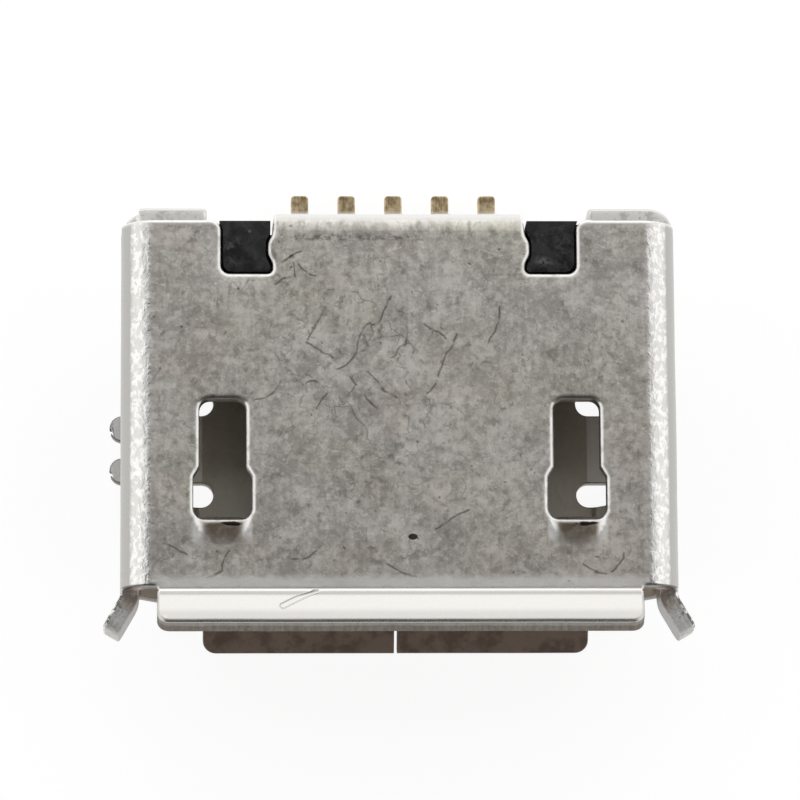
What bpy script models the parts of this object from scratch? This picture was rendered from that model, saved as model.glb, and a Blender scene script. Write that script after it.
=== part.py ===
"""Micro USB Type-B board socket: a folded shell, a moulded housing and five contacts.

The shell is drawn as the flat blank that the press tool cuts, and then folded.
+X runs across the mouth, -Y out of the mouth, +Z up from the board. The origin lies on the
board side of the shell, in the middle of the dovetail that locks the seam.
"""

from math import atan, atan2, ceil, cos, hypot, pi, radians, sin, tan

import bmesh
import bpy
from mathutils import Vector

MM = 0.001

# Sheet and section of the shell
SHEET = 0.25 * MM
SHELL_WIDTH = 7.5 * MM
SHELL_HEIGHT = 2.45 * MM
NARROW_WIDTH = 5.72 * MM            # board side, between its outer corners
SIDE_WALL_HEIGHT = 1.40 * MM        # from the wide face down to the sloped walls
TOP_BEND_INNER = 0.23 * MM
LOWER_BEND_INNER = 0.15 * MM

# Length of the shell, measured from the dovetail at the origin
PLATE_REAR = 2.48 * MM              # rear edge of the wide plate
SHELL_LENGTH = 5.05 * MM            # from that edge to the fold of the upper lip
WALL_REAR_STEP = 0.09 * MM          # the sloped walls and the narrow plate end this much sooner
WALL_FRONT_STEP = 0.12 * MM

# Flared mouth
FLARE_ANGLE = radians(27)
EAR_ANGLE = radians(30)
FLARE_BEND_INNER = 0.20 * MM
UPPER_LIP_WIDTH = 6.5 * MM
UPPER_LIP_REACH = 0.41 * MM         # flat part of the lip, past its bend
LOWER_LIP_WIDTH = 5.29 * MM
LOWER_LIP_REACH = 0.385 * MM
LOWER_LIP_STEP = 0.04 * MM          # its fold lies this much behind that of the upper lip
EAR_REACH = 0.44 * MM
EAR_STEP = 0.05 * MM                # the ears fold this much behind the upper lip
EAR_HEIGHT = 0.62 * MM
UPPER_LIP_CORNER = 0.16 * MM
LOWER_LIP_CORNER = 0.18 * MM
EAR_CORNER = 0.13 * MM
WALL_CORNER = 0.06 * MM             # where the ears and the lower lip meet the walls
NOTCH_CORNER = 0.045 * MM
CORNER_NOTCH = 0.20 * MM            # least room between the upper lip and an ear, in the blank

# Keyhole windows that catch the latches of the plug
WINDOW_SPACING = 4.75 * MM
WINDOW_WIDTH = 0.63 * MM
WINDOW_WIDE = 0.79 * MM
WINDOW_LENGTH = 1.625 * MM
WINDOW_WIDE_LENGTH = 0.575 * MM
WINDOW_SHOULDER = 0.13 * MM         # slope from the wide to the narrow part
WINDOW_FROM_FOLD = 0.965 * MM       # front end of a window to the fold of the upper lip
WINDOW_CORNER = 0.14 * MM
RAMP_LENGTH = 0.36 * MM             # lead-in in front of each window, raised towards it
RAMP_WIDTH = 0.76 * MM
RAMP_NARROWING = 0.22 * MM          # its front end is this much narrower
RAMP_RISE = 0.09 * MM
RAMP_CURVE = 1.5                    # 1 is a straight slope, more is a hollow one

# Solder wings, cut from the sloped walls and laid flat on the board
WING_WIDTH = 0.94 * MM
WING_SPAN = 7.82 * MM               # over the tips of both wings
WING_FROM_KEY = 0.27 * MM           # middle of a wing in front of the origin
WING_LOBE_WIDTH = 0.35 * MM         # each wing ends in two round lobes
WING_NOTCH_DEPTH = 0.36 * MM
RELIEF_SLOT = 0.34 * MM
RELIEF_SLOT_CORNER = 0.13 * MM
RELIEF_SLOT_SPACING = 5.0 * MM      # between the round inner ends, across the shell
WING_TIP_CUT = 0.10 * MM

# Rear of the shell
REAR_FLAP_WIDTH = 3.40 * MM
REAR_FLAP_BEND_INNER = 0.03 * MM
REAR_FLAP_STEP = 0.15 * MM          # its bend starts this much before the rear edge
REAR_FLAP_ABOVE_BLADES = 0.10 * MM
REAR_NOTCH_WIDTH = 0.70 * MM
REAR_NOTCH_DEPTH = 0.74 * MM
REAR_NOTCH_CORNER = 0.12 * MM
PLATE_CORNER = 0.16 * MM
BARB_HEIGHT = 0.065 * MM
BARB_LENGTH = 0.39 * MM
BARB_TAPER = 0.11 * MM
BARB_CORNER = 0.18 * MM
BARB_FROM_NOTCH = 0.15 * MM
SIDE_FLAP_BEND_INNER = 0.08 * MM
SIDE_FLAP_STEP = 0.055 * MM          # its bend starts this much before the rear edge
SIDE_FLAP_INNER_X = 2.59 * MM
FOOT_WIDTH = 0.74 * MM
BEND_RELIEF = 0.06 * MM
LEFT_RELIEF_LENGTH = 0.20 * MM      # larger cut at the bend of the left flap
LEFT_RELIEF_DEPTH = 0.32 * MM

# Seam and dovetail
SEAM_GAP = 0.04 * MM
KEY_REACH = 0.42 * MM
KEY_NECK = 0.56 * MM
KEY_HEAD = 0.84 * MM
KEY_CORNER = 0.05 * MM

# Housing
SEAT_CLEARANCE = 0.03 * MM          # between the moulded piece and whatever it meets
BODY_DEPTH = 1.18 * MM
BLOCK_BELOW_TOP = 0.05 * MM
BLOCK_FLARE = 0.05 * MM             # where a block follows the round corner of the plate
TONGUE_WIDTH = 3.70 * MM
TONGUE_THICKNESS = 0.60 * MM
TONGUE_BELOW_PLATE = 0.40 * MM      # space between the wide plate and the tongue
TONGUE_RECESS = 0.67 * MM           # tip of the tongue behind the fold of the upper lip
TONGUE_CHAMFER = 0.10 * MM
TONGUE_LEAD = 0.20 * MM             # length of the slope on the upper side of its tip
TONGUE_ROOT_LENGTH = 0.45 * MM
TONGUE_ROOT_STEP = 0.14 * MM
MOULD_JOIN = 0.10 * MM              # how far parts of the one moulding run into each other

# Contacts
CONTACT_COUNT = 5
CONTACT_PITCH = 0.65 * MM
CONTACT_THICKNESS = 0.15 * MM
BLADE_WIDTH = 0.36 * MM
TAIL_WIDTH = 0.24 * MM
BLADE_PROUD = 0.05 * MM             # blade below the underside of the tongue
BLADE_FROM_TIP = 0.14 * MM
BLADE_INTO_BODY = 0.41 * MM         # where the full width ends inside the moulding
BLADE_NARROWING = 0.24 * MM
DROP_FROM_PLATE = 0.315 * MM        # middle of the falling leg behind the wide plate
LEG_BEND_INNER = 0.08 * MM
TAIL_BEND_INNER = 0.22 * MM
TAIL_REACH = 0.545 * MM             # tip of the tail behind the middle of the leg
TAIL_CHAMFER = 0.03 * MM

# Fineness of the round parts
TOP_BEND_STEPS = 8
LOWER_BEND_STEPS = 5
FLARE_STEPS = 5
REAR_BEND_STEPS = 6
RAMP_STEPS_ACROSS = 8
RAMP_STEPS_ALONG = 5
CORNER_STEP = radians(30)
SIDE_SHARE = 0.499                  # most of a side that one rounded corner may take

# Worked out from the sizes above
HALF_WIDTH = SHELL_WIDTH / 2
FOLD_Y = PLATE_REAR - SHELL_LENGTH
EAR_FOLD_Y = FOLD_Y + EAR_STEP
LOWER_FOLD_Y = FOLD_Y + LOWER_LIP_STEP
CHAMFER_HEIGHT = SHELL_HEIGHT - SIDE_WALL_HEIGHT
WALL_FRONT = FOLD_Y + WALL_FRONT_STEP
WALL_REAR = PLATE_REAR - WALL_REAR_STEP
SLOPE = atan2(CHAMFER_HEIGHT, HALF_WIDTH - NARROW_WIDTH / 2)
UPPER_TURN = pi / 2 - SLOPE
TOP_BEND_OUTER = TOP_BEND_INNER + SHEET
LOWER_BEND_OUTER = LOWER_BEND_INNER + SHEET
TOP_BEND_MID = TOP_BEND_INNER + SHEET / 2
LOWER_BEND_MID = LOWER_BEND_INNER + SHEET / 2
FLARE_MID = FLARE_BEND_INNER + SHEET / 2
REAR_FLAP_MID = REAR_FLAP_BEND_INNER + SHEET / 2
SIDE_FLAP_MID = SIDE_FLAP_BEND_INNER + SHEET / 2
FLARE_ARC = FLARE_MID * FLARE_ANGLE
EAR_ARC = FLARE_MID * EAR_ANGLE
WALL_TOP_Z = SHELL_HEIGHT - TOP_BEND_OUTER
UPPER_TANGENT = LOWER_BEND_OUTER * tan(UPPER_TURN / 2)
LOWER_TANGENT = LOWER_BEND_OUTER * tan(SLOPE / 2)
WALL_LENGTH = WALL_TOP_Z - CHAMFER_HEIGHT - UPPER_TANGENT
SLOPE_LENGTH = hypot(HALF_WIDTH - NARROW_WIDTH / 2, CHAMFER_HEIGHT) - UPPER_TANGENT - LOWER_TANGENT
FLOOR_LENGTH = NARROW_WIDTH / 2 - LOWER_TANGENT

# Distances along the middle of the sheet, from the centre line of the wide plate
U_TOP = HALF_WIDTH - TOP_BEND_OUTER
U_WALL = U_TOP + TOP_BEND_MID * pi / 2
U_HIGH = U_WALL + WALL_LENGTH
U_SLOPE = U_HIGH + LOWER_BEND_MID * UPPER_TURN
U_LOW = U_SLOPE + SLOPE_LENGTH
U_FLOOR = U_LOW + LOWER_BEND_MID * SLOPE
U_SEAM = U_FLOOR + FLOOR_LENGTH

# Rear flaps and feet
REAR_FOLD_Y = PLATE_REAR - REAR_FLAP_STEP
REAR_FLAP_INNER_Y = REAR_FOLD_Y + REAR_FLAP_BEND_INNER
SIDE_FOLD_Y = PLATE_REAR - SIDE_FLAP_STEP
SIDE_FLAP_INNER_Y = SIDE_FOLD_Y + SIDE_FLAP_BEND_INNER
WALL_MID_X = HALF_WIDTH - SHEET / 2
SIDE_FLAP_TURN_END = SIDE_FOLD_Y + SIDE_FLAP_MID * pi / 2
SIDE_FLAP_END = SIDE_FLAP_TURN_END + WALL_MID_X - SIDE_FLAP_MID - SIDE_FLAP_INNER_X
FLAP_TOP_U = U_WALL + BEND_RELIEF / 2
FOOT_U = U_WALL + WALL_TOP_Z
EAR_TOP_U = max(FLAP_TOP_U, UPPER_LIP_WIDTH / 2 + CORNER_NOTCH)

# Housing and contacts
INNER_TOP = SHELL_HEIGHT - SHEET
BODY_REAR = SIDE_FLAP_INNER_Y - SEAT_CLEARANCE
BODY_FRONT = BODY_REAR - BODY_DEPTH
TONGUE_TOP = INNER_TOP - TONGUE_BELOW_PLATE
TONGUE_BOTTOM = TONGUE_TOP - TONGUE_THICKNESS
TONGUE_TIP = FOLD_Y + TONGUE_RECESS
BLADE_BOTTOM = TONGUE_BOTTOM - BLADE_PROUD
BLADE_TOP = BLADE_BOTTOM + CONTACT_THICKNESS
BLADE_Z = BLADE_BOTTOM + CONTACT_THICKNESS / 2
BLADE_TIP = TONGUE_TIP + BLADE_FROM_TIP
LEG_Y = PLATE_REAR + DROP_FROM_PLATE
FLAP_BOTTOM = BLADE_TOP + REAR_FLAP_ABOVE_BLADES
REAR_FLAP_TURN_END = REAR_FOLD_Y + REAR_FLAP_MID * pi / 2
REAR_FLAP_END = REAR_FLAP_TURN_END + SHELL_HEIGHT - SHEET / 2 - REAR_FLAP_MID - FLAP_BOTTOM

# Ends of the dovetail and of the cut that takes it, round the section
KEY_TIP_U = U_SEAM + KEY_REACH
KEY_SOCKET_U = U_SEAM - KEY_REACH - SEAT_CLEARANCE

# The fill tool works to a fixed distance, so a blank is filled a thousand times enlarged
FILL_SCALE = 1000.0
CUT_SNAP = 0.0001                   # in the enlarged blank
WELD = 0.004 * MM


def clear_scene():
    for old in list(bpy.data.objects):
        bpy.data.objects.remove(old, do_unlink=True)


def material(name, colour, roughness, metallic):
    mat = bpy.data.materials.new(name)
    mat.use_nodes = True
    shader = mat.node_tree.nodes["Principled BSDF"]
    shader.inputs["Base Color"].default_value = (*colour, 1.0)
    shader.inputs["Roughness"].default_value = roughness
    shader.inputs["Metallic"].default_value = metallic
    return mat


def add_object(name, bm, mat):
    bmesh.ops.recalc_face_normals(bm, faces=bm.faces)
    mesh = bpy.data.meshes.new(name)
    bm.to_mesh(mesh)
    bm.free()
    mesh.materials.append(mat)
    obj = bpy.data.objects.new(name, mesh)
    bpy.context.scene.collection.objects.link(obj)
    return obj


def add_cutter(name, bm):
    """A helper solid for a Boolean, hidden from the render."""
    bmesh.ops.recalc_face_normals(bm, faces=bm.faces)
    mesh = bpy.data.meshes.new(name)
    bm.to_mesh(mesh)
    bm.free()
    obj = bpy.data.objects.new(name, mesh)
    obj.hide_render = True
    obj.display_type = "WIRE"
    bpy.context.scene.collection.objects.link(obj)
    return obj


def boolean(obj, other, operation):
    mod = obj.modifiers.new(other.name, "BOOLEAN")
    mod.operation = operation
    mod.solver = "EXACT"
    mod.object = other


def rounded(corners):
    """Turn (x, y, radius) corners into a closed outline with arcs at the corners."""
    outline = []
    for i, (x, y, radius) in enumerate(corners):
        here = Vector((x, y))
        if radius <= 0:
            outline.append(here)
            continue
        before = Vector(corners[i - 1][:2]) - here
        after = Vector(corners[(i + 1) % len(corners)][:2]) - here
        opening = before.angle(after)
        tangent = min(radius / tan(opening / 2), SIDE_SHARE * before.length, SIDE_SHARE * after.length)
        radius = tangent * tan(opening / 2)
        start = here + before.normalized() * tangent
        centre = here + (before.normalized() + after.normalized()).normalized() * hypot(radius, tangent)
        turn = pi - opening
        side = 1 if before.x * after.y - before.y * after.x < 0 else -1
        steps = max(1, ceil(turn / CORNER_STEP))
        arm = start - centre
        for k in range(steps + 1):
            angle = side * turn * k / steps
            outline.append(centre + Vector((arm.x * cos(angle) - arm.y * sin(angle),
                                            arm.x * sin(angle) + arm.y * cos(angle))))
    return outline


def mirrored(corners):
    return [(-x, y, r) for x, y, r in reversed(corners)]


def section_point(u):
    """Place and outward normal of the middle of the sheet, at the distance u round the section."""
    x, z, heading = 0.0, SHELL_HEIGHT - SHEET / 2, 0.0
    steps = ((U_TOP, 0, 0), (TOP_BEND_MID * pi / 2, TOP_BEND_MID, pi / 2), (WALL_LENGTH, 0, 0),
             (LOWER_BEND_MID * UPPER_TURN, LOWER_BEND_MID, UPPER_TURN), (SLOPE_LENGTH, 0, 0),
             (LOWER_BEND_MID * SLOPE, LOWER_BEND_MID, SLOPE), (U_SEAM, 0, 0))
    left = u
    for length, radius, turn in steps:
        part = min(left, length)
        left -= part
        if radius == 0:
            x += part * cos(heading)
            z += part * sin(heading)
        else:
            centre_x = x + radius * sin(heading)
            centre_z = z - radius * cos(heading)
            heading -= turn * part / length
            x = centre_x - radius * sin(heading)
            z = centre_z + radius * cos(heading)
        if left <= 0:
            break
    return x, z, -sin(heading), cos(heading)


def ramp_shape(u, v):
    """Rise and tilt of the lead-in in front of a window at a point of the wide plate."""
    ahead = FOLD_Y + WINDOW_FROM_FOLD - v
    along = ahead / RAMP_LENGTH if ahead > 0 else -ahead / WINDOW_CORNER
    half_width = (RAMP_WIDTH - (RAMP_NARROWING * along if ahead > 0 else 0.0)) / 2
    off_middle = abs(abs(u) - WINDOW_SPACING / 2)
    if along >= 1 or off_middle >= half_width:
        return 0.0, 0.0
    share = 1 - (off_middle / half_width) ** 4
    slope = RAMP_RISE / RAMP_LENGTH * RAMP_CURVE * share * (1 - along) ** (RAMP_CURVE - 1)
    return RAMP_RISE * share * (1 - along) ** RAMP_CURVE, atan(slope)


def fold(u, v, w):
    """Carry a point of the flat blank to its place on the folded shell; w is the height off its middle."""
    side = -1 if u < 0 else 1
    a = abs(u)
    wing_front = -WING_FROM_KEY - WING_WIDTH / 2 - RELIEF_SLOT / 2
    wing_rear = -WING_FROM_KEY + WING_WIDTH / 2 + RELIEF_SLOT / 2
    if wing_front < v < wing_rear and U_FLOOR - wing_length() - WING_TIP_CUT / 2 < a < U_FLOOR:
        return Vector((side * (FLOOR_LENGTH + U_FLOOR - a), v, SHEET / 2 - w))
    if v > SIDE_FOLD_Y and U_WALL < a < FOOT_U + SHEET:
        turn = min((v - SIDE_FOLD_Y) / SIDE_FLAP_MID, pi / 2)
        past = max(0.0, v - SIDE_FLAP_TURN_END)
        x = WALL_MID_X - SIDE_FLAP_MID + (SIDE_FLAP_MID + w) * cos(turn) - past
        y = SIDE_FOLD_Y + (SIDE_FLAP_MID + w) * sin(turn)
        return Vector((side * x, y, WALL_TOP_Z - (a - U_WALL)))
    if v > REAR_FOLD_Y and a < REAR_FLAP_WIDTH / 2 + BARB_HEIGHT / 2:
        turn = min((v - REAR_FOLD_Y) / REAR_FLAP_MID, pi / 2)
        past = max(0.0, v - REAR_FLAP_TURN_END)
        y = REAR_FOLD_Y + (REAR_FLAP_MID + w) * sin(turn)
        z = SHELL_HEIGHT - SHEET / 2 - REAR_FLAP_MID + (REAR_FLAP_MID + w) * cos(turn) - past
        return Vector((u, y, z))
    x, z, normal_x, normal_z = section_point(a)
    start, angle = flare_at(a)
    if v < start:
        turn = min((start - v) / FLARE_MID, angle)
        past = max(0.0, start - v - FLARE_MID * angle)
        out = FLARE_MID * (1 - cos(turn)) + past * sin(turn) + w * cos(turn)
        y = start - FLARE_MID * sin(turn) - past * cos(turn) + w * sin(turn)
        return Vector((side * (x + normal_x * out), y, z + normal_z * out))
    rise, tilt = ramp_shape(u, v)
    return Vector((side * (x + normal_x * w), v - w * sin(tilt), z + rise + normal_z * w * cos(tilt)))


def flare_at(a):
    """Fold line and angle of the lip or ear at the distance a round the section."""
    if a < (UPPER_LIP_WIDTH / 2 + EAR_TOP_U) / 2:
        return FOLD_Y, FLARE_ANGLE
    if a < U_SLOPE:
        return EAR_FOLD_Y, EAR_ANGLE
    return LOWER_FOLD_Y, FLARE_ANGLE


def wing_length():
    return WING_SPAN / 2 - FLOOR_LENGTH


def barb_outline(grow):
    """Inner side of a rear notch with its barb, from front to rear."""
    notch_front = PLATE_REAR - REAR_NOTCH_DEPTH
    side = REAR_FLAP_WIDTH / 2 + grow
    start = notch_front + BARB_FROM_NOTCH - grow
    end = notch_front + BARB_FROM_NOTCH + BARB_LENGTH + grow
    return [(side, start, BARB_CORNER), (side + BARB_HEIGHT, start + BARB_TAPER, BARB_CORNER),
            (side + BARB_HEIGHT, end - BARB_TAPER, BARB_CORNER), (side, end, BARB_CORNER)]


def blank_front():
    """Front edge of the blank, from the upper lip to the seam."""
    lip = UPPER_LIP_WIDTH / 2
    ear_bottom = EAR_TOP_U + EAR_HEIGHT
    lower = U_SEAM - LOWER_LIP_WIDTH / 2
    ear_tip = EAR_FOLD_Y - EAR_ARC - EAR_REACH
    lower_tip = LOWER_FOLD_Y - FLARE_ARC - LOWER_LIP_REACH
    return [(lip, FOLD_Y - FLARE_ARC - UPPER_LIP_REACH, UPPER_LIP_CORNER),
            (lip, EAR_FOLD_Y, NOTCH_CORNER), (EAR_TOP_U, EAR_FOLD_Y, NOTCH_CORNER),
            (EAR_TOP_U, ear_tip, EAR_CORNER), (ear_bottom, ear_tip, EAR_CORNER),
            (ear_bottom, WALL_FRONT, WALL_CORNER), (lower, WALL_FRONT, WALL_CORNER / 2),
            (lower, lower_tip, LOWER_LIP_CORNER), (U_SEAM - SEAM_GAP / 2, lower_tip, 0)]


def blank_rear(relief_length, relief_depth):
    """Rear edge of the blank, from the seam to the centre flap."""
    foot_start = max(SIDE_FLAP_TURN_END, SIDE_FLAP_END - FOOT_WIDTH)
    notch_front = PLATE_REAR - REAR_NOTCH_DEPTH
    notch_outer = REAR_FLAP_WIDTH / 2 + REAR_NOTCH_WIDTH
    slit_front = SIDE_FOLD_Y - BEND_RELIEF / 2
    slit_u = FLAP_TOP_U - BEND_RELIEF
    corner = REAR_NOTCH_CORNER
    points = [(U_SEAM - SEAM_GAP / 2, WALL_REAR, 0), (U_HIGH, WALL_REAR, 0),
              (U_HIGH, foot_start, corner), (FOOT_U, foot_start, 0), (FOOT_U, SIDE_FLAP_END, 0),
              (FLAP_TOP_U, SIDE_FLAP_END, corner / 2)]
    if relief_length > 0:
        relief_end = PLATE_REAR + relief_length
        points += [(FLAP_TOP_U, relief_end, 0), (FLAP_TOP_U + relief_depth, relief_end, corner / 2),
                   (FLAP_TOP_U + relief_depth, slit_front, corner / 2)]
    else:
        points += [(FLAP_TOP_U, slit_front, 0)]
    points += [(slit_u, slit_front, 0), (slit_u, PLATE_REAR, 0),
               (notch_outer, PLATE_REAR, PLATE_CORNER), (notch_outer, notch_front, corner),
               (REAR_FLAP_WIDTH / 2, notch_front, corner)]
    return points + barb_outline(0) + [(REAR_FLAP_WIDTH / 2, REAR_FLAP_END, corner)]


def key_outline(tip, grow):
    """Dovetail on the seam or, with a tip short of the seam, the cut that takes it; front to rear."""
    root = U_SEAM - SEAM_GAP / 2
    neck = KEY_NECK / 2 + grow
    head = KEY_HEAD / 2 + grow
    return [(root, -neck, 0), (tip, -head, KEY_CORNER), (tip, head, KEY_CORNER), (root, neck, 0)]


def window_outline(side):
    middle = side * WINDOW_SPACING / 2
    front = FOLD_Y + WINDOW_FROM_FOLD
    rear = front + WINDOW_LENGTH
    wide = front + WINDOW_WIDE_LENGTH
    neck = wide + WINDOW_SHOULDER
    half = WINDOW_WIDTH / 2
    half_wide = WINDOW_WIDE / 2
    return [(middle - half_wide, front, WINDOW_CORNER), (middle + half_wide, front, WINDOW_CORNER),
            (middle + half_wide, wide, WINDOW_CORNER / 2), (middle + half, neck, WINDOW_CORNER / 2),
            (middle + half, rear, WINDOW_CORNER), (middle - half, rear, WINDOW_CORNER),
            (middle - half, neck, WINDOW_CORNER / 2), (middle - half_wide, wide, WINDOW_CORNER / 2)]


def wing_slot_outline():
    """The slot that frees a solder wing from the sloped wall on the +u side."""
    front = -WING_FROM_KEY - WING_WIDTH / 2
    rear = -WING_FROM_KEY + WING_WIDTH / 2
    tip = U_FLOOR - wing_length()
    top = tip - WING_TIP_CUT
    end = U_SEAM - RELIEF_SLOT_SPACING / 2
    round_end = RELIEF_SLOT / 2
    lobe = WING_LOBE_WIDTH / 2
    notch_front = front + WING_LOBE_WIDTH
    notch_rear = rear - WING_LOBE_WIDTH
    notch_end = tip + WING_NOTCH_DEPTH
    notch_corner = (notch_rear - notch_front) / 2
    return [(top, front - RELIEF_SLOT, RELIEF_SLOT_CORNER), (end, front - RELIEF_SLOT, round_end),
            (end, front, round_end), (tip, front, lobe), (tip, notch_front, lobe),
            (notch_end, notch_front, notch_corner), (notch_end, notch_rear, notch_corner),
            (tip, notch_rear, lobe), (tip, rear, lobe), (end, rear, round_end),
            (end, rear + RELIEF_SLOT, round_end), (top, rear + RELIEF_SLOT, RELIEF_SLOT_CORNER)]


def blank_loops():
    """Outline and holes of the flat blank."""
    right = blank_front() + key_outline(KEY_TIP_U, 0) + blank_rear(0, 0)
    left = (blank_front() + key_outline(KEY_SOCKET_U, SEAT_CLEARANCE)
            + blank_rear(LEFT_RELIEF_LENGTH, LEFT_RELIEF_DEPTH))
    slot = wing_slot_outline()
    return [right + mirrored(left), window_outline(1), window_outline(-1), slot, mirrored(slot)]


def bend_lines(start, length, steps):
    return [start + length * k / steps for k in range(steps + 1)]


def cut_blank(bm, across, positions, faces=None):
    """Split the flat blank along lines, across the sheet (u) or along it (v)."""
    for position in positions:
        chosen = faces(bm) if faces else bm.faces[:]
        edges = list({edge for face in chosen for edge in face.edges})
        verts = list({vert for face in chosen for vert in face.verts})
        place = Vector((position, 0, 0)) if across else Vector((0, position, 0))
        normal = Vector((1, 0, 0)) if across else Vector((0, 1, 0))
        bmesh.ops.bisect_plane(bm, geom=chosen + edges + verts, dist=CUT_SNAP, plane_co=place * FILL_SCALE,
                               plane_no=normal)


def split_at_bends(bm):
    round_bends = (bend_lines(U_TOP, TOP_BEND_MID * pi / 2, TOP_BEND_STEPS)
                   + bend_lines(U_HIGH, U_SLOPE - U_HIGH, LOWER_BEND_STEPS)
                   + bend_lines(U_LOW, U_FLOOR - U_LOW, LOWER_BEND_STEPS))
    cut_blank(bm, True, round_bends + [-u for u in round_bends])
    for start, arc in ((FOLD_Y, FLARE_ARC), (EAR_FOLD_Y, EAR_ARC), (LOWER_FOLD_Y, FLARE_ARC)):
        cut_blank(bm, False, bend_lines(start - arc, arc, FLARE_STEPS))
    cut_blank(bm, False, bend_lines(REAR_FOLD_Y, REAR_FLAP_TURN_END - REAR_FOLD_Y, REAR_BEND_STEPS))
    cut_blank(bm, False, bend_lines(SIDE_FOLD_Y, SIDE_FLAP_TURN_END - SIDE_FOLD_Y, REAR_BEND_STEPS))


def split_at_ramps(bm):
    front = FOLD_Y + WINDOW_FROM_FOLD
    rear = front + WINDOW_CORNER
    cut_blank(bm, False, [front - RAMP_LENGTH, front, rear])
    for side in (1, -1):
        middle = side * WINDOW_SPACING / 2

        def near_ramp(mesh):
            found = []
            for face in mesh.faces:
                centre = face.calc_center_median() / FILL_SCALE
                in_row = front - RAMP_LENGTH < centre.y < rear
                if in_row and abs(centre.x - middle) < RAMP_WIDTH:
                    found.append(face)
            return found

        cut_blank(bm, True, bend_lines(middle - RAMP_WIDTH / 2, RAMP_WIDTH, RAMP_STEPS_ACROSS))
        rows = bend_lines(front - RAMP_LENGTH, RAMP_LENGTH, RAMP_STEPS_ALONG)
        cut_blank(bm, False, rows[1:-1] + [(front + rear) / 2], near_ramp)


def fold_shell():
    bm = bmesh.new()
    for corners in blank_loops():
        verts = [bm.verts.new((p.x * FILL_SCALE, p.y * FILL_SCALE, 0)) for p in rounded(corners)]
        for i, vert in enumerate(verts):
            bm.edges.new((vert, verts[i - 1]))
    bmesh.ops.triangle_fill(bm, use_beauty=True, edges=bm.edges[:])
    split_at_bends(bm)
    split_at_ramps(bm)
    bmesh.ops.remove_doubles(bm, verts=bm.verts[:], dist=WELD * FILL_SCALE)
    bmesh.ops.triangulate(bm, faces=bm.faces[:])
    sheet = bm.faces[:]
    raised = bmesh.ops.extrude_face_region(bm, geom=sheet, use_keep_orig=True)["geom"]
    upper = {item for item in raised if isinstance(item, bmesh.types.BMVert)}
    half = SHEET / 2
    for vert in bm.verts:
        flat = vert.co / FILL_SCALE
        vert.co = fold(flat.x, flat.y, half if vert in upper else -half)
    bmesh.ops.triangulate(bm, faces=bm.faces[:])
    return bm


def prism(outline, axis, low, high):
    """Extrude a closed outline along an axis; the outline's two values fill the other axes in order."""
    bm = bmesh.new()
    verts = []
    for a, b in outline:
        place = [a, b]
        place.insert(axis, low)
        verts.append(bm.verts.new(place))
    face = bm.faces.new(verts)
    moved = bmesh.ops.extrude_face_region(bm, geom=[face], use_keep_orig=True)["geom"]
    shift = Vector((0, 0, 0))
    shift[axis] = high - low
    bmesh.ops.translate(bm, vec=shift, verts=[v for v in moved if isinstance(v, bmesh.types.BMVert)])
    return bm


def box(x_range, y_range, z_range):
    outline = [(x_range[0], y_range[0]), (x_range[1], y_range[0]),
               (x_range[1], y_range[1]), (x_range[0], y_range[1])]
    return prism(outline, 2, *z_range)


def housing_section():
    """Outline of the moulded body: the inside of the shell less the seating clearance."""
    inset = SHEET / 2 + SEAT_CLEARANCE
    stations = (bend_lines(U_TOP, TOP_BEND_MID * pi / 2, TOP_BEND_STEPS)
                + bend_lines(U_HIGH, U_SLOPE - U_HIGH, LOWER_BEND_STEPS)
                + bend_lines(U_LOW, U_FLOOR - U_LOW, LOWER_BEND_STEPS))
    right = []
    for u in stations:
        x, z, normal_x, normal_z = section_point(u)
        right.append((x - normal_x * inset, z - normal_z * inset))
    return right + [(-x, z) for x, z in reversed(right)]


def notch_block(side):
    """The part of the moulding that stands up into a rear notch of the wide plate."""
    front = PLATE_REAR - REAR_NOTCH_DEPTH + SEAT_CLEARANCE
    outer = REAR_FLAP_WIDTH / 2 + REAR_NOTCH_WIDTH - SEAT_CLEARANCE
    corner = REAR_NOTCH_CORNER
    corners = [(outer + BLOCK_FLARE, BODY_REAR, 0),
               (outer, BODY_REAR - 2 * BLOCK_FLARE, PLATE_CORNER), (outer, front, corner),
               (REAR_FLAP_WIDTH / 2 + SEAT_CLEARANCE, front, corner / 2),
               *barb_outline(SEAT_CLEARANCE), (REAR_FLAP_WIDTH / 2 + SEAT_CLEARANCE, BODY_REAR, 0)]
    outline = [(side * p.x, p.y) for p in rounded(corners)]
    low = INNER_TOP - SEAT_CLEARANCE - MOULD_JOIN
    return prism(outline, 2, low, SHELL_HEIGHT - BLOCK_BELOW_TOP)


def tongue_profile():
    """Side view (y, z) of the tongue with its chamfered tip and thicker root."""
    root = BODY_FRONT - TONGUE_ROOT_LENGTH
    end = BODY_FRONT + MOULD_JOIN
    cut = TONGUE_CHAMFER
    return [(TONGUE_TIP, TONGUE_BOTTOM + cut), (TONGUE_TIP + cut, TONGUE_BOTTOM),
            (end, TONGUE_BOTTOM), (end, TONGUE_TOP + TONGUE_ROOT_STEP),
            (root + TONGUE_ROOT_STEP, TONGUE_TOP + TONGUE_ROOT_STEP), (root, TONGUE_TOP),
            (TONGUE_TIP + TONGUE_LEAD, TONGUE_TOP), (TONGUE_TIP, TONGUE_TOP - cut)]


def contact_x(index):
    return (index - (CONTACT_COUNT - 1) / 2) * CONTACT_PITCH


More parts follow.
